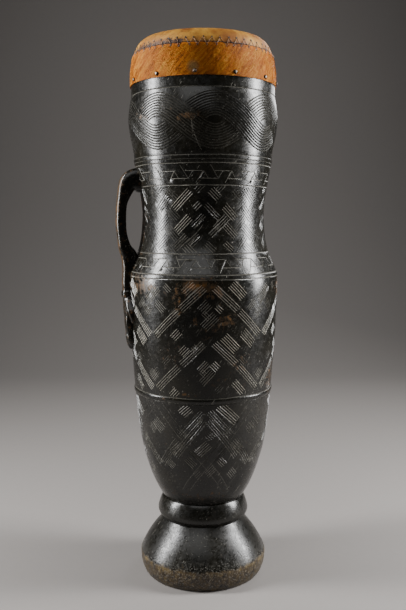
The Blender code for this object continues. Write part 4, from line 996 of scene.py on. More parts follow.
def makeArm():
    form = bmesh.new()
    width, thick, root = arm["width"], arm["thickness"], at["stripHigh"] - arm["rootDepth"] / 2
    centre = log["neck"] + arm["reach"] - thick / 2
    wrist = at["shoulder"] - arm["wristBelowShoulder"]
    bend = between(at["neckLow"], at["neckHigh"], 0.42)
    strip, proud = log["upperStrip"], arm["proud"]
    roundedBar(form, [
        (strip - arm["sink"] - 0.005, root, 0, arm["rootDepth"], width),
        (strip + 0.006, root - 0.002, 0, arm["rootDepth"] * 0.88, width),
        (strip + 0.018, root - 0.011, 0, arm["rootDepth"] * 0.68, width),
        (centre - 0.0048, root - 0.037, 0, thick * 1.16, width),
        (centre - 0.0008, root - 0.058, 0, thick, width),
        (centre, bend, 0, thick, width),
        (centre - 0.0026, at["neckLow"] + 0.033, 0, thick, width * 0.97),
        (centre - 0.0085, at["neckLow"] + 0.008, 0, thick * 1.25, width * 0.95),
        (centre - 0.0175, at["neckLow"] - 0.012, 0, thick * 1.6, width * 0.92),
        lyingStation(at["shoulder"], proud, 0, width * 0.9),
        lyingStation(wrist + 0.020, proud * 0.90, 0, width * 0.87),
        lyingStation(wrist - 0.010, proud * 0.86, 0, width * 0.86)])
    for side in (-1, 1):
        z = wrist + side * arm["bracelet"] * 0.27
        rise = proud * 0.88 + arm["braceletProud"]
        roundedBar(form, [lyingStation(z + arm["bracelet"] * 0.22, rise, 0, width),
                          lyingStation(z - arm["bracelet"] * 0.22, rise, 0, width)], square=0.8)
    knuckles, tip = wrist - arm["palmLength"], wrist - arm["handLength"]
    hand = arm["hand"]
    roundedBar(form, [lyingStation(wrist + 0.003, proud * 0.8, 0, width * 0.84),
                      lyingStation(between(wrist, knuckles, 0.4), proud * 0.92, 0, hand * 0.93),
                      lyingStation(knuckles, proud * 0.80, 0, hand),
                      lyingStation(knuckles - 0.010, proud * 0.45, 0, hand * 0.94)], square=0.7)
    spread = hand / arm["fingers"]
    for finger in range(arm["fingers"]):
        across = (finger - (arm["fingers"] - 1) / 2) * spread
        length = 0.0 if finger in (1, 2) else 0.007
        rise = arm["fingerProud"]
        roundedBar(form, [lyingStation(knuckles + 0.012, rise * 0.95, across * 0.92, spread * 0.92),
                          lyingStation(knuckles - 0.004, rise * 1.08, across * 0.97, spread * 0.98),
                          lyingStation(between(knuckles, tip, 0.45), rise * 0.94, across * 1.0, spread * 0.92),
                          lyingStation(between(knuckles, tip, 0.62), rise * 0.99, across * 1.02, spread * 0.95),
                          lyingStation(tip + length + 0.006, rise * 0.80, across * 1.03, spread * 0.86),
                          lyingStation(tip + length, rise * 0.35, across * 1.03, spread * 0.6)], square=0.85)
    thumbRoot = wrist - 0.012
    side = hand / 2
    roundedBar(form, [lyingStation(thumbRoot + 0.004, arm["fingerProud"] * 0.8, side * 0.62, 0.012),
                      lyingStation(thumbRoot - 0.010, arm["fingerProud"], side * 0.92, 0.013),
                      lyingStation(thumbRoot - arm["thumbLength"] * 0.5, arm["fingerProud"] * 0.9, side * 1.25, 0.012),
                      lyingStation(thumbRoot - arm["thumbLength"], arm["fingerProud"] * 0.4, side * 1.38, 0.009)],
               square=0.85)
    bmesh.ops.recalc_face_normals(form, faces=form.faces)
    mesh = bpy.data.meshes.new("armForm")
    form.to_mesh(mesh)
    form.free()
    rough = bpy.data.objects.new("armForm", mesh)
    bpy.context.scene.collection.objects.link(rough)
    remesh = rough.modifiers.new("remesh", "REMESH")
    remesh.mode = "VOXEL"
    remesh.voxel_size = arm["voxel"]
    smooth = rough.modifiers.new("smooth", "SMOOTH")
    smooth.factor = 0.5
    smooth.iterations = 3
    bpy.context.view_layer.update()
    evaluated = rough.evaluated_get(bpy.context.evaluated_depsgraph_get()).to_mesh()
    points = [tuple(vertex.co) for vertex in evaluated.vertices]
    faces = [tuple(polygon.vertices) for polygon in evaluated.polygons]
    outwards = armPoint(1, 0, 0)
    facing = [vertex.normal.dot(outwards) for vertex in evaluated.vertices]
    bpy.data.objects.remove(rough)
    return points, faces, facing


def armBrown(facing, z):
    # Hands have rubbed the arm's outer face back to brown wood; its flanks and the hand stay dark
    forearm = min(max((z - at["shoulder"] + arm["wristBelowShoulder"]) / 0.02, 0.0), 1.0)
    return 0.30 + (0.12 + 0.44 * forearm) * min(max((facing - 0.55) / 0.35, 0.0), 1.0)


def makeDrumBody():
    wall = makeLogWall()
    print("Log carved:", len(wall.faces), "triangles")
    points = [handTurned(*point) for point in wall.points]
    cut = list(wall.cut)
    brown = [brownAt(*point) for point in points]
    faces = list(wall.faces)
    armPoints, armFaces, armFacing = makeArm()
    first = len(points)
    points += [handTurned(*point) for point in armPoints]
    faces += [tuple(first + corner for corner in corners) for corners in armFaces]
    cut += [0.0] * len(armPoints)
    dustAndGlint = list(wall.dustAndGlint) + [0.0] * len(armPoints)
    brown += [armBrown(facing, point[2]) for facing, point in zip(armFacing, armPoints)]
    print("Arm carved:", len(armFaces), "faces")
    body = newPiece("drumBody", points, faces, blackenedHardwood, {"cut": cut, "dustAndGlint": dustAndGlint, "brown": brown}, sharp=0)
    welded = bmesh.new()
    welded.from_mesh(body.data)
    bmesh.ops.remove_doubles(welded, verts=[v for v in welded.verts if v.index < first], dist=0.00002)
    for edge in welded.edges:
        edge.smooth = edge.calc_face_angle(0) < math.radians(30)
    welded.to_mesh(body.data)
    welded.free()
    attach(body, "root")
    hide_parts("drum_body")
    return body


drumBody = makeDrumBody()


# Rawhide head

skin = {
    "thickness": 0.0018, "gap": 0.0003, "stitches": 52, "pucker": 0.00045, "sides": 416,
    "pale": "#a5782f", "tan": "#764719", "amber": "#6e400f", "stain": "#2b1408", "dirt": "#4a331a",
}

# Dark grease and old dye round the stitches: degrees, height, half sizes, strength
stainPlaces = ((-60.0, 1.1020, 22.0, 0.0070, 1.15), (-24.0, 1.1035, 13.0, 0.0068, 1.05), (2.0, 1.0985, 9.0, 0.0045, 0.55),
               (27.0, 1.0990, 11.0, 0.0068, 0.90), (62.0, 1.1005, 14.0, 0.0036, 0.70), (170.0, 1.1010, 60.0, 0.0045, 0.60),
               (110.0, 1.1010, 25.0, 0.0050, 0.70), (-120.0, 1.1010, 25.0, 0.0050, 0.70))


def stainAt(x, y, z):
    degrees = math.degrees(math.atan2(y, x) - face)
    patchy = 0.65 + 0.9 * noise.noise((x * 160, y * 160, z * 160))
    return min(1.0, sum(blob(degrees, z, place) for place in stainPlaces) * max(patchy, 0.0))


def headSurface(height):
    # Outer radius of the stretched skin at a height
    seat = log["rim"] - 0.0015 - 0.0021
    if height < at["seam"]:
        base = between(seat, log["seam"], (height - at["headHem"]) / (at["seam"] - at["headHem"]))
    else:
        base = shoulderRadius(height)
    return base + skin["thickness"] + skin["gap"]


def makeHead():
    wall = Wall()
    top = at["top"] + skin["thickness"] + skin["gap"]
    wall.start(top - 0.0011)
    profile = [(0.02, top - 0.0011), (0.05, top - 0.0010), (0.08, top - 0.0008), (0.10, top - 0.0005),
               (0.112, top - 0.0002), (0.119, top - 0.00005), (log["lip"] + 0.0004, top - 0.0006)]
    steps = 22
    for step in range(steps + 1):
        z = between(at["top"], at["seam"], (step / steps) ** 1.25)
        profile.append((headSurface(z), z))
    for share in (0.12, 0.25, 0.5, 1.0):
        z = between(at["seam"], at["headHem"], share)
        profile.append((headSurface(z), z))
    # The wall is built from its top centre down, so its faces are turned round afterwards
    for radius, z in profile:
        sides = 90 if radius < 0.06 else skin["sides"]
        angles = [face + math.tau * side / sides for side in range(sides)]
        ring = []
        for angle in angles:
            drawn = math.exp(-((z - at["seam"]) / 0.006) ** 2) * skin["pucker"]
            fold = drawn * math.cos(angle * skin["stitches"])
            slow = noise.noise((math.cos(angle) * 3, math.sin(angle) * 3, z * 30)) * 0.0005
            lift = min(1.0, radius / 0.12)
            ring.append((angle, wall.addPoint(angle, radius + fold + slow * lift, z)))
        wall.join(ring)
    under = wall.last
    wall.ring(at["headHem"], headSurface(at["headHem"]) - skin["thickness"], skin["sides"])
    seamHigh = [radius for radius in (log["seam"] + skin["gap"], log["lip"])]
    wall.ring(at["seam"], seamHigh[0], 96)
    wall.ring(at["top"] + skin["gap"], seamHigh[1], 96)
    wall.finish(at["top"] + skin["gap"])
    faces = [tuple(reversed(corners)) for corners in wall.faces]
    stain = [stainAt(*point) for point in wall.points]
    head = newPiece("headSkin", wall.points, faces, makeRawhide(), {"stain": stain}, sharp=60)
    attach(head, "root")
    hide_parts("head_skin")
    return head


def makeRawhide():
    # Rawhide: scraped, limed and dried on the drum. Pale and a little translucent, amber in the thin places,
    # with a low sheen where it is stretched
    material, tree, shader = newMaterial("scrapedRawhide")
    place = addNode(tree, "TexCoord").outputs["Object"]
    cloud = addNode(tree, "TexNoise", inputs={"Vector": place, "Scale": 1000 / 38, "Detail": 5.0,
                                              "Roughness": 0.55, "Distortion": 0.6}).outputs["Fac"]
    pores = addNode(tree, "TexNoise", inputs={"Vector": place, "Scale": 1000 / 1.6, "Detail": 2.0}).outputs["Fac"]
    stain = addNode(tree, "Attribute", {"attribute_name": "stain"}).outputs["Fac"]
    height = addNode(tree, "SeparateXYZ", inputs={"Vector": place}).outputs["Z"]
    nearSeam = addNode(tree, "MapRange", {"interpolation_type": "SMOOTHSTEP"},
                       {"Value": height, "From Min": at["seam"] + 0.014, "From Max": at["seam"] + 0.002}).outputs[0]
    tanShare = addNode(tree, "MapRange", inputs={"Value": cloud, "From Min": 0.38, "From Max": 0.62}).outputs[0]
    base = addNode(tree, "Mix", {"data_type": "RGBA"}, {0: tanShare, 6: toLinear(skin["pale"]),
                                                        7: toLinear(skin["tan"])}).outputs[2]
    amberShare = addNode(tree, "Math", {"operation": "MULTIPLY"}, {0: nearSeam, 1: 0.5}).outputs[0]
    amber = addNode(tree, "Mix", {"data_type": "RGBA"}, {0: amberShare, 6: base, 7: toLinear(skin["amber"])}).outputs[2]
    poreShare = addNode(tree, "MapRange", inputs={"Value": pores, "From Min": 0.60, "From Max": 0.78,
                                                  "To Max": 0.30}).outputs[0]
    soaked = addNode(tree, "MapRange", {"interpolation_type": "SMOOTHSTEP"},
                     {"Value": stain, "From Min": 0.04, "From Max": 0.75}).outputs[0]
    darkened = addNode(tree, "Math", {"operation": "MAXIMUM"}, {0: poreShare, 1: soaked}).outputs[0]
    speckled = addNode(tree, "Mix", {"data_type": "RGBA"}, {0: darkened, 6: amber,
                                                            7: toLinear(skin["stain"])}).outputs[2]
    smears = addNode(tree, "TexNoise", inputs={"Vector": place, "Scale": 1000 / 7.0, "Detail": 4.0,
                                               "Roughness": 0.7}).outputs["Fac"]
    dirtShare = addNode(tree, "MapRange", inputs={"Value": smears, "From Min": 0.54, "From Max": 0.70,
                                                  "To Max": 0.55}).outputs[0]
    handled = addNode(tree, "Mix", {"data_type": "RGBA"}, {0: dirtShare, 6: speckled, 7: toLinear(skin["dirt"])}).outputs[2]
    tree.links.new(handled, shader.inputs["Base Color"])
    shader.inputs["Roughness"].default_value = 0.55
    shader.inputs["Specular IOR Level"].default_value = 0.18
    shader.inputs["Subsurface Weight"].default_value = 0.12
    shader.inputs["Subsurface Radius"].default_value = (0.004, 0.002, 0.001)
    bump = addNode(tree, "Bump", inputs={"Strength": 0.25, "Distance": 0.0003, "Height": pores})
    tree.links.new(bump.outputs["Normal"], shader.inputs["Normal"])
    return material


headSkin = makeHead()
print("Head stretched")


nails = {"count": 12, "phase": -6.0, "radius": 0.0040, "rise": 0.0030, "aboveHem": 0.006,
         "iron": "#1c1714", "rust": "#3a2519", "crownWearAndHighlight": "#8f8678"}

# Hide collar with its hair on

hide = {
    "thickness": 0.0022, "sides": 300, "strands": 24000, "length": 0.0125, "width": 0.00050,
    "lean": 46.0,                       # degrees the hair lies from level, rising to the right
    "lockLength": 0.018, "lockWidth": 0.0026,      # streaks of one tone, along and across the hair
    "rust": "#9a5510", "straw": "#b0792a", "brown": "#5e3207", "grey": "#5c5538",
    "greyPatch": (-7.0, 1.053, 5.5, 0.010), "seed": 5,
}
seatRadius = log["rim"] - 0.0015


def collarSurface(height):
    # Outer radius of the hide: level over the bare wood, then leaning in over the edge of the head
    top = at["seam"] - 0.0028
    inner = seatRadius + 0.0003
    if height > at["headHem"]:
        share = (height - at["headHem"]) / (top - at["headHem"])
        inner = between(inner, headSurface(top) + 0.0003, share)
    return inner + hide["thickness"]


def makeCollar():
    wall = Wall()
    top = at["seam"] - 0.0028
    heights = [between(at["collarHem"], top, step / 14) for step in range(15)]
    outer = [(z, collarSurface(z)) for z in heights]
    inner = [(z, radius - hide["thickness"]) for z, radius in reversed(outer)]
    for index, (z, radius) in enumerate(outer + inner):
        ring = []
        for side in range(hide["sides"]):
            angle = face + math.tau * side / hide["sides"]
            edge = math.exp(-((z - top) / 0.004) ** 2)
            pulled = edge * 0.0005 * math.cos(angle * skin["stitches"])
            ragged = math.exp(-((z - at["collarHem"]) / 0.002) ** 2)
            drop = ragged * 0.0011 * noise.noise((math.cos(angle) * 40, math.sin(angle) * 40, 2.0))
            slow = noise.noise((math.cos(angle) * 4, math.sin(angle) * 4, z * 40)) * 0.0004
            lift = slow if index < len(outer) else 0.0
            ring.append((angle, wall.addPoint(angle, radius + lift, z + pulled + max(drop, -0.0004))))
        wall.join(ring)
    wall.close()
    stain = [stainAt(*point) for point in wall.points]
    collar = newPiece("hideCollar", wall.points, wall.faces, makeHairedHide(False), {"stain": stain}, sharp=60)
    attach(collar, "root")
    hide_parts("hide_collar")
    return collar


def makeHair():
    # Each hair is a thin tapered blade that springs from the hide and lies along it
    pick = np.random.default_rng(hide["seed"])
    count = hide["strands"]
    top = at["seam"] - 0.0036
    angle = pick.uniform(0, math.tau, count)
    z = pick.uniform(at["collarHem"] + 0.0006, top, count)
    length = hide["length"] * pick.uniform(0.6, 1.15, count)
    swirl = np.array([noise.noise((math.cos(a) * 5, math.sin(a) * 5, h * 35)) for a, h in zip(angle, z)])
    lean = np.radians(hide["lean"] + 22 * swirl + pick.normal(0, 7, count))
    width = hide["width"] * pick.uniform(0.7, 1.3, count)
    tone = pick.normal(0, 0.12, count)
    girth = angle * seatRadius
    lie = math.radians(hide["lean"])
    along = (girth * math.cos(lie) + z * math.sin(lie)) / hide["lockLength"]
    across = (z * math.cos(lie) - girth * math.sin(lie)) / hide["lockWidth"]
    tone += np.array([noise.noise((a, b, 0.5)) for a, b in zip(along, across)]) * 0.62
    tone += np.array([noise.noise((a * 0.5, b * 0.18, 4.5)) for a, b in zip(along, across)]) * 0.42
    # Darker hair along the lower hem: painted shade of the shadow line at the collar's lower edge
    tone += np.exp(-((z - at["collarHem"]) / 0.0016) ** 2) * -0.55
    points, faces, tones = [], [], []
    shares = (0.0, 0.35, 0.72, 1.0)
    lifts = (0.0001, 0.0009, 0.0011, 0.0005)
    taper = (1.0, 0.95, 0.65, 0.0)
    surface = np.vectorize(collarSurface)
    rows = []
    # No hair is left under the nails
    turns = np.degrees(angle - face) - nails["phase"]
    offNail = (turns + 180 / nails["count"]) % (360 / nails["count"]) - 180 / nails["count"]
    sideways = np.radians(offNail) * seatRadius - 0.004
    upwards = z - at["collarHem"] - nails["aboveHem"] - 0.004
    keep = np.hypot(sideways, upwards) > 0.0065
    angle, z, length, lean, width, tone = (values[keep] for values in (angle, z, length, lean, width, tone))
    count = len(angle)
    for share, lift, narrow in zip(shares, lifts, taper):
        h = z - np.sin(lean) * length * share
        h = np.maximum(h, at["collarHem"] - 0.0012)
        r = surface(np.maximum(h, at["collarHem"])) + lift * pick.uniform(0.6, 1.4, count)
        a = angle - np.cos(lean) * length * share / r
        offset = width * narrow / 2
        du, dh = -np.sin(lean) * offset, np.cos(lean) * offset
        for side in (-1, 1):
            rows.append(np.stack([r * np.cos(a + side * du / r), r * np.sin(a + side * du / r), h + side * dh], 1))
    stack = np.stack(rows, 1)
    points = stack.reshape(-1, 3)
    base = np.arange(count) * len(rows)
    quads = [np.stack([base + 2 * i, base + 2 * i + 1, base + 2 * i + 3, base + 2 * i + 2], 1) for i in range(2)]
    tips = np.stack([base + 4, base + 5, base + 6], 1)
    faces = [tuple(row) for part in quads for row in part.tolist()] + [tuple(row) for row in tips.tolist()]
    tones = np.repeat(tone, len(rows))
    stain = np.array([stainAt(*point) for point in points.tolist()])
    hair = newPiece("collarHair", points.tolist(), faces, makeHairedHide(True), {"tone": tones, "stain": stain}, sharp=0)
    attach(hair, "root")
    return hair


def makeHairedHide(isHair):
    # Goat or antelope hide dried with the hair on: rust and straw streaks lying one way, rubbed thin in places
    material, tree, shader = newMaterial("antelopeHair" if isHair else "driedHide")
    place = addNode(tree, "TexCoord").outputs["Object"]
    cloud = addNode(tree, "TexNoise", inputs={"Vector": place, "Scale": 1000 / 26, "Detail": 4.0}).outputs["Fac"]
    if isHair:
        tone = addNode(tree, "Attribute", {"attribute_name": "tone"}).outputs["Fac"]
    else:
        tone = addNode(tree, "Math", {"operation": "SUBTRACT"}, {0: cloud, 1: 0.6}).outputs[0]
    strawShare = addNode(tree, "MapRange", inputs={"Value": tone, "From Min": -0.05, "From Max": 0.55}).outputs[0]
    brownShare = addNode(tree, "MapRange", inputs={"Value": tone, "From Min": -0.10, "From Max": -0.60}).outputs[0]
    base = addNode(tree, "Mix", {"data_type": "RGBA"}, {0: strawShare, 6: toLinear(hide["rust"]),
                                                        7: toLinear(hide["straw"])}).outputs[2]
    streaked = addNode(tree, "Mix", {"data_type": "RGBA"}, {0: brownShare, 6: base, 7: toLinear(hide["brown"])}).outputs[2]
    degrees, z, halfAcross, halfUp = hide["greyPatch"]
    turn = face + math.radians(degrees)
    radius = seatRadius
    centre = (radius * math.cos(turn), radius * math.sin(turn), z)
    away = addNode(tree, "VectorMath", {"operation": "DISTANCE"}, {0: place, 1: centre}).outputs["Value"]
    greyShare = addNode(tree, "MapRange", {"interpolation_type": "SMOOTHSTEP"},
                        {"Value": away, "From Min": 0.017, "From Max": 0.004, "To Max": 0.7}).outputs[0]
    greyed = addNode(tree, "Mix", {"data_type": "RGBA"}, {0: greyShare, 6: streaked, 7: toLinear(hide["grey"])}).outputs[2]
    stain = addNode(tree, "Attribute", {"attribute_name": "stain"}).outputs["Fac"]
    soaked = addNode(tree, "MapRange", {"interpolation_type": "SMOOTHSTEP"},
                     {"Value": stain, "From Min": 0.06, "From Max": 0.85, "To Max": 0.9}).outputs[0]
    coloured = addNode(tree, "Mix", {"data_type": "RGBA"}, {0: soaked, 6: greyed, 7: toLinear(skin["stain"])}).outputs[2]
    tree.links.new(coloured, shader.inputs["Base Color"])
    shader.inputs["Roughness"].default_value = 0.6 if isHair else 0.75
    shader.inputs["Specular IOR Level"].default_value = 0.10
    if not isHair:
        bump = addNode(tree, "Bump", inputs={"Strength": 0.4, "Distance": 0.0004, "Height": cloud})
        tree.links.new(bump.outputs["Normal"], shader.inputs["Normal"])
    return material


hideCollar = makeCollar()
collarHair = makeHair()
print("Collar laid")


# Stitches between head and collar

thong = {"width": 0.0012, "thick": 0.0007, "above": 0.0084, "below": 0.0070, "tan": "#7d5423", "dark": "#24120a",
         "hole": 0.0015, "seamCord": 0.0006}


def makeStitches():
    # One flat thong that zigzags over the seam, through a row of holes above and one below
    wall = Wall()
    points, faces, tones = [], [], []
    count = skin["stitches"]

    def surfacePoint(angle, z, lift):
        radius = (headSurface(z) if z > at["seam"] - 0.0028 else collarSurface(z)) + lift
        return Vector((radius * math.cos(angle), radius * math.sin(angle), z))

    def addThong(start, end, tone):
        first = len(points)
        pieces = 7
        for step in range(pieces + 1):
            t = step / pieces
            angle, z = between(start[0], end[0], t), between(start[1], end[1], t)
            proud = 0.0010 if z < at["seam"] else 0.0004
            lift = proud * math.sin(math.pi * min(max(t, 0.0), 1.0)) ** 0.5 - (0.0008 if step in (0, pieces) else 0.0)
            here = surfacePoint(angle, z, lift)
            ahead = surfacePoint(between(start[0], end[0], t + 0.01), between(start[1], end[1], t + 0.01), lift)
            along = (ahead - here).normalized()
            outwards = Vector((math.cos(angle), math.sin(angle), 0.3)).normalized()
            side = along.cross(outwards).normalized() * thong["width"] / 2
            rise = outwards * thong["thick"] / 2
            points.extend(tuple(here + a * side + b * rise) for a, b in ((1, 0.2), (0.5, 1), (-0.5, 1), (-1, 0.2),
                                                                          (-0.8, -1), (0.8, -1)))
            tones.extend([tone if z < at["seam"] else 0.3 * tone - 0.2] * 6)
        for step in range(pieces):
            for corner in range(6):
                after = (corner + 1) % 6
                a, b = first + step * 6, first + (step + 1) * 6
                faces.append((a + corner, a + after, b + after, b + corner))
        faces.append(tuple(first + corner for corner in reversed(range(6))))
        faces.append(tuple(first + pieces * 6 + corner for corner in range(6)))

    def addHole(angle, z):
        # A pierced hole, drawn as a small raised disc in the sinew's darkest tone, which paints the shade inside the
        # hole, with the leather drawn up round it
        first = len(points)
        middle = surfacePoint(angle, z, 0.0009)
        outwards = Vector((math.cos(angle), math.sin(angle), 0.3)).normalized()
        side = outwards.cross(Vector((0, 0, 1))).normalized()
        up = side.cross(outwards)
        size = thong["hole"] * chisel.uniform(0.75, 1.2)
        for ring, lift in ((1.25, -0.0009), (1.0, 0.0002), (0.6, 0.0)):
            for corner in range(10):
                turn = math.tau * corner / 10
                points.append(tuple(middle + side * math.cos(turn) * size * ring * 0.85
                                    + up * math.sin(turn) * size * ring * 1.2 + outwards * lift))
        # Darkest tone: painted shade inside the hole
        tones.extend([1.3] * 30)
        for ring in range(2):
            for corner in range(10):
                after = (corner + 1) % 10
                a, b = first + ring * 10, first + (ring + 1) * 10
                faces.append((a + corner, a + after, b + after, b + corner))
        faces.append(tuple(first + 20 + corner for corner in range(10)))

    turn = math.tau / count
    upper = [(face + (number + chisel.uniform(-0.12, 0.12)) * turn,
              at["seam"] + thong["above"] + chisel.uniform(-0.0012, 0.0012)) for number in range(count)]
    lower = [(face + (number + 0.45 + chisel.uniform(-0.12, 0.12)) * turn,
              at["seam"] - thong["below"] + chisel.uniform(-0.0012, 0.0012)) for number in range(count)]
    for number in range(count):
        following = upper[(number + 1) % count]
        if number == count - 1:
            following = (following[0] + math.tau, following[1])
        degrees = math.degrees(lower[number][0] - face)
        dark = 0.9 * min(1.0, sum(blob(degrees, at["seam"], place) for place in stainPlaces))
        addThong(upper[number], lower[number], dark + chisel.uniform(0, 0.5))
        addThong(lower[number], following, dark * 0.8 + chisel.uniform(-0.2, 0.3))
        addHole(*upper[number])
        addHole(*lower[number])

    # The drawn cord that lies along the seam itself
    first, sides = len(points), 360
    for side in range(sides):
        angle = face + math.tau * side / sides
        radius = headSurface(at["seam"]) + 0.0004
        for corner in range(5):
            c, s = math.cos(math.tau * corner / 5), math.sin(math.tau * corner / 5)
            r = radius + c * thong["seamCord"]
            points.append((r * math.cos(angle), r * math.sin(angle), at["seam"] - 0.0010 + s * thong["seamCord"]))
            tones.append(1.1)
            after, beyond = (corner + 1) % 5, (side + 1) % sides
            faces.append((first + side * 5 + corner, first + beyond * 5 + corner, first + beyond * 5 + after,
                          first + side * 5 + after))
    stitches = newPiece("sinewStitches", points, faces, makeSinew(), {"tone": tones}, sharp=45)
    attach(stitches, "root")
    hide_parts("lacing")
    return stitches


def makeSinew():
    # Split sinew or vine, twisted wet and dried hard: brown to nearly black with hand grease; its darkest tone also
    # paints the shade inside the stitch holes
    material, tree, shader = newMaterial("driedSinew")
    place = addNode(tree, "TexCoord").outputs["Object"]
    tone = addNode(tree, "Attribute", {"attribute_name": "tone"}).outputs["Fac"]
    fibres = addNode(tree, "TexNoise", inputs={"Vector": place, "Scale": 1000 / 1.0, "Detail": 2.0}).outputs["Fac"]
    mixed = addNode(tree, "Math", {"operation": "MULTIPLY_ADD"}, {0: fibres, 1: 0.6, 2: tone}).outputs[0]
    share = addNode(tree, "MapRange", inputs={"Value": mixed, "From Min": 0.3, "From Max": 1.1}).outputs[0]
    colour = addNode(tree, "Mix", {"data_type": "RGBA"}, {0: share, 6: toLinear(thong["tan"]),
                                                          7: toLinear(thong["dark"])}).outputs[2]
    tree.links.new(colour, shader.inputs["Base Color"])
    shader.inputs["Roughness"].default_value = 0.55
    bump = addNode(tree, "Bump", inputs={"Strength": 0.5, "Distance": 0.0002, "Height": fibres})
    tree.links.new(bump.outputs["Normal"], shader.inputs["Normal"])
    return material


sinewStitches = makeStitches()
print("Stitches laid")


# Dome nails


def makeNailIron():
    # Forged iron tacks, browned with age and lighter on the crowns, partly rubbed wear and partly a painted highlight
    material, tree, shader = newMaterial("forgedIron")
    place = addNode(tree, "TexCoord").outputs["Object"]
    pits = addNode(tree, "TexNoise", inputs={"Vector": place, "Scale": 1000 / 1.5, "Detail": 3.0}).outputs["Fac"]
    share = addNode(tree, "MapRange", inputs={"Value": pits, "From Min": 0.4, "From Max": 0.62}).outputs[0]
    base = addNode(tree, "Mix", {"data_type": "RGBA"}, {0: share, 6: toLinear(nails["iron"]),
                                                        7: toLinear(nails["rust"])}).outputs[2]
    crown = addNode(tree, "SeparateXYZ", inputs={"Vector": place}).outputs["Z"]
    # Lighter towards each dome's crown: partly rubbed wear, partly a painted highlight
    rubbed = addNode(tree, "MapRange", inputs={"Value": crown, "From Min": nails["rise"] * 0.7,
                                               "From Max": nails["rise"], "To Max": 0.6}).outputs[0]
    worn = addNode(tree, "Mix", {"data_type": "RGBA"}, {0: rubbed, 6: base, 7: toLinear(nails["crownWearAndHighlight"])}).outputs[2]
    tree.links.new(worn, shader.inputs["Base Color"])
    shader.inputs["Metallic"].default_value = 0.85
    shader.inputs["Roughness"].default_value = 0.38
    bump = addNode(tree, "Bump", inputs={"Strength": 0.4, "Distance": 0.0002, "Height": pits})
    tree.links.new(bump.outputs["Normal"], shader.inputs["Normal"])
    return material


def makeNails():
    wall = Wall()
    wall.start(-0.0006)
    sides = 28
    wall.ring(-0.0006, nails["radius"] * 0.9, sides)
    for step in range(9):
        turn = math.pi / 2 * step / 9
        wall.ring(nails["rise"] * math.sin(turn), nails["radius"] * math.cos(turn) ** 0.8, sides)
    wall.finish(nails["rise"])
    iron = makeNailIron()
    first = None
    for number in range(nails["count"]):
        name = f"domeNail{number + 1:02d}"
        if first is None:
            nail = newPiece(name, wall.points, wall.faces, iron, sharp=50)
            first = nail
        else:
            nail = bpy.data.objects.new(name, first.data)
            bpy.context.scene.collection.objects.link(nail)
        angle = face + math.radians(nails["phase"]) + math.tau * number / nails["count"]
        outwards = Vector((math.cos(angle), math.sin(angle), 0))
        seat = collarSurface(at["collarHem"]) + 0.0007
        nail.location = outwards * seat + Vector((0, 0, at["collarHem"] + nails["aboveHem"]))
        nail.rotation_mode = "QUATERNION"
        nail.rotation_quaternion = outwards.to_track_quat("Z", "Y")
        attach(nail, "root")
        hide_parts(f"nail_{number + 1:02d}")


makeNails()
print("Nails driven")


# Floor, light and camera

studio = {
    "floor": "#7a7673", "behind": 2.0, "sweepRadius": 1.8, "front": 3.5, "side": 6.0, "tall": 4.5,     # metres
    "world": "#8d8a88", "worldStrength": 0.09,
    "cameraPlace": (-0.3532, -1.5298, 0.7605), "pitchDown": 6.41, "lens": 43.27, "sensor": 36.0,
    # Lights: degrees round from the camera, height, distance, width, tall, watts, height aimed at
    "lights": ((-82.0, 1.34, 1.55, 0.30, 1.85, 92.0, 0.85), (88.0, 1.34, 1.60, 0.42, 1.85, 108.0, 0.85),
               (-12.0, 2.30, 1.70, 1.9, 1.3, 12.0, 1.00), (150.0, 1.7, 2.0, 1.0, 1.0, 14.0, 0.60)),
}


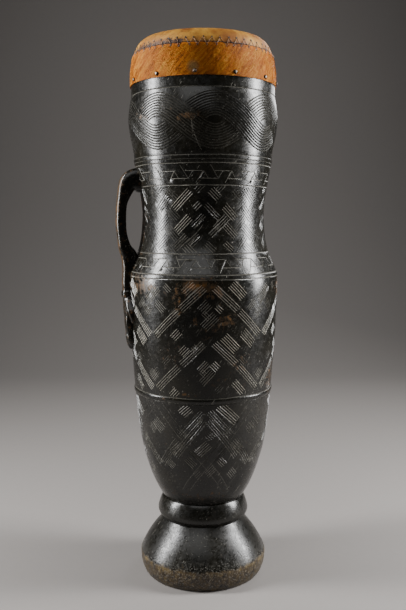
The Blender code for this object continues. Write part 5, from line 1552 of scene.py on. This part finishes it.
def makeBackdrop(front):
    # A paper roll: level under the drum, then swept up behind it
    material, tree, shader = newMaterial("palePaper")
    place = addNode(tree, "TexCoord").outputs["Object"]
    fibre = addNode(tree, "TexNoise", inputs={"Vector": place, "Scale": 60.0, "Detail": 3.0}).outputs["Fac"]
    shade = addNode(tree, "MapRange", inputs={"Value": fibre, "To Min": 0.97, "To Max": 1.03}).outputs[0]
    colour = addNode(tree, "VectorMath", {"operation": "SCALE"}, {0: toLinear(studio["floor"])[:3], "Scale": shade})
    tree.links.new(colour.outputs[0], shader.inputs["Base Color"])
    shader.inputs["Roughness"].default_value = 0.85
    profile = [(-studio["front"], 0.0), (0.0, 0.0)]
    radius = studio["sweepRadius"]
    profile += [(studio["behind"] + radius * math.sin(math.radians(step * 5)),
                 radius * (1 - math.cos(math.radians(step * 5)))) for step in range(19)]
    profile.append((studio["behind"] + radius, studio["tall"]))
    away = Vector((-math.cos(front), -math.sin(front), 0))
    side = Vector((-away.y, away.x, 0))
    points, faces = [], []
    for depth, z in profile:
        for edge in (-1, 1):
            points.append(tuple(away * depth + side * edge * studio["side"] + Vector((0, 0, z - 0.0002))))
    for step in range(len(profile) - 1):
        a = step * 2
        faces.append((a, a + 1, a + 3, a + 2))
    newPiece("backdrop", points, faces, material, sharp=0)


def makeStudio():
    view = Vector(studio["cameraPlace"])
    front = math.atan2(view.y, view.x)
    makeBackdrop(front)
    world = bpy.context.scene.world or bpy.data.worlds.new("studioWorld")
    bpy.context.scene.world = world
    world.use_nodes = True
    background = world.node_tree.nodes["Background"]
    background.inputs["Color"].default_value = toLinear(studio["world"])
    background.inputs["Strength"].default_value = studio["worldStrength"]

    for number, (degrees, z, distance, width, tall, watts, aimed) in enumerate(studio["lights"], 1):
        light = bpy.data.lights.new(f"softbox{number}", "AREA")
        light.shape = "RECTANGLE"
        light.size = width
        light.size_y = tall
        light.energy = watts
        box = bpy.data.objects.new(f"softbox{number}", light)
        angle = front + math.radians(degrees)
        box.location = (distance * math.cos(angle), distance * math.sin(angle), z)
        aim = Vector((0, 0, aimed)) - box.location
        box.rotation_euler = aim.to_track_quat("-Z", "Y").to_euler()
        bpy.context.scene.collection.objects.link(box)

    camera = bpy.data.cameras.new("camera")
    camera.sensor_fit = "VERTICAL"
    camera.sensor_height = studio["sensor"]
    camera.lens = studio["lens"]
    holder = bpy.data.objects.new("camera", camera)
    holder.location = view
    pitch = math.radians(90 - studio["pitchDown"])
    holder.rotation_euler = (pitch, 0, front + math.pi / 2)
    bpy.context.scene.collection.objects.link(holder)
    bpy.context.scene.camera = holder


makeStudio()
print("Studio set")
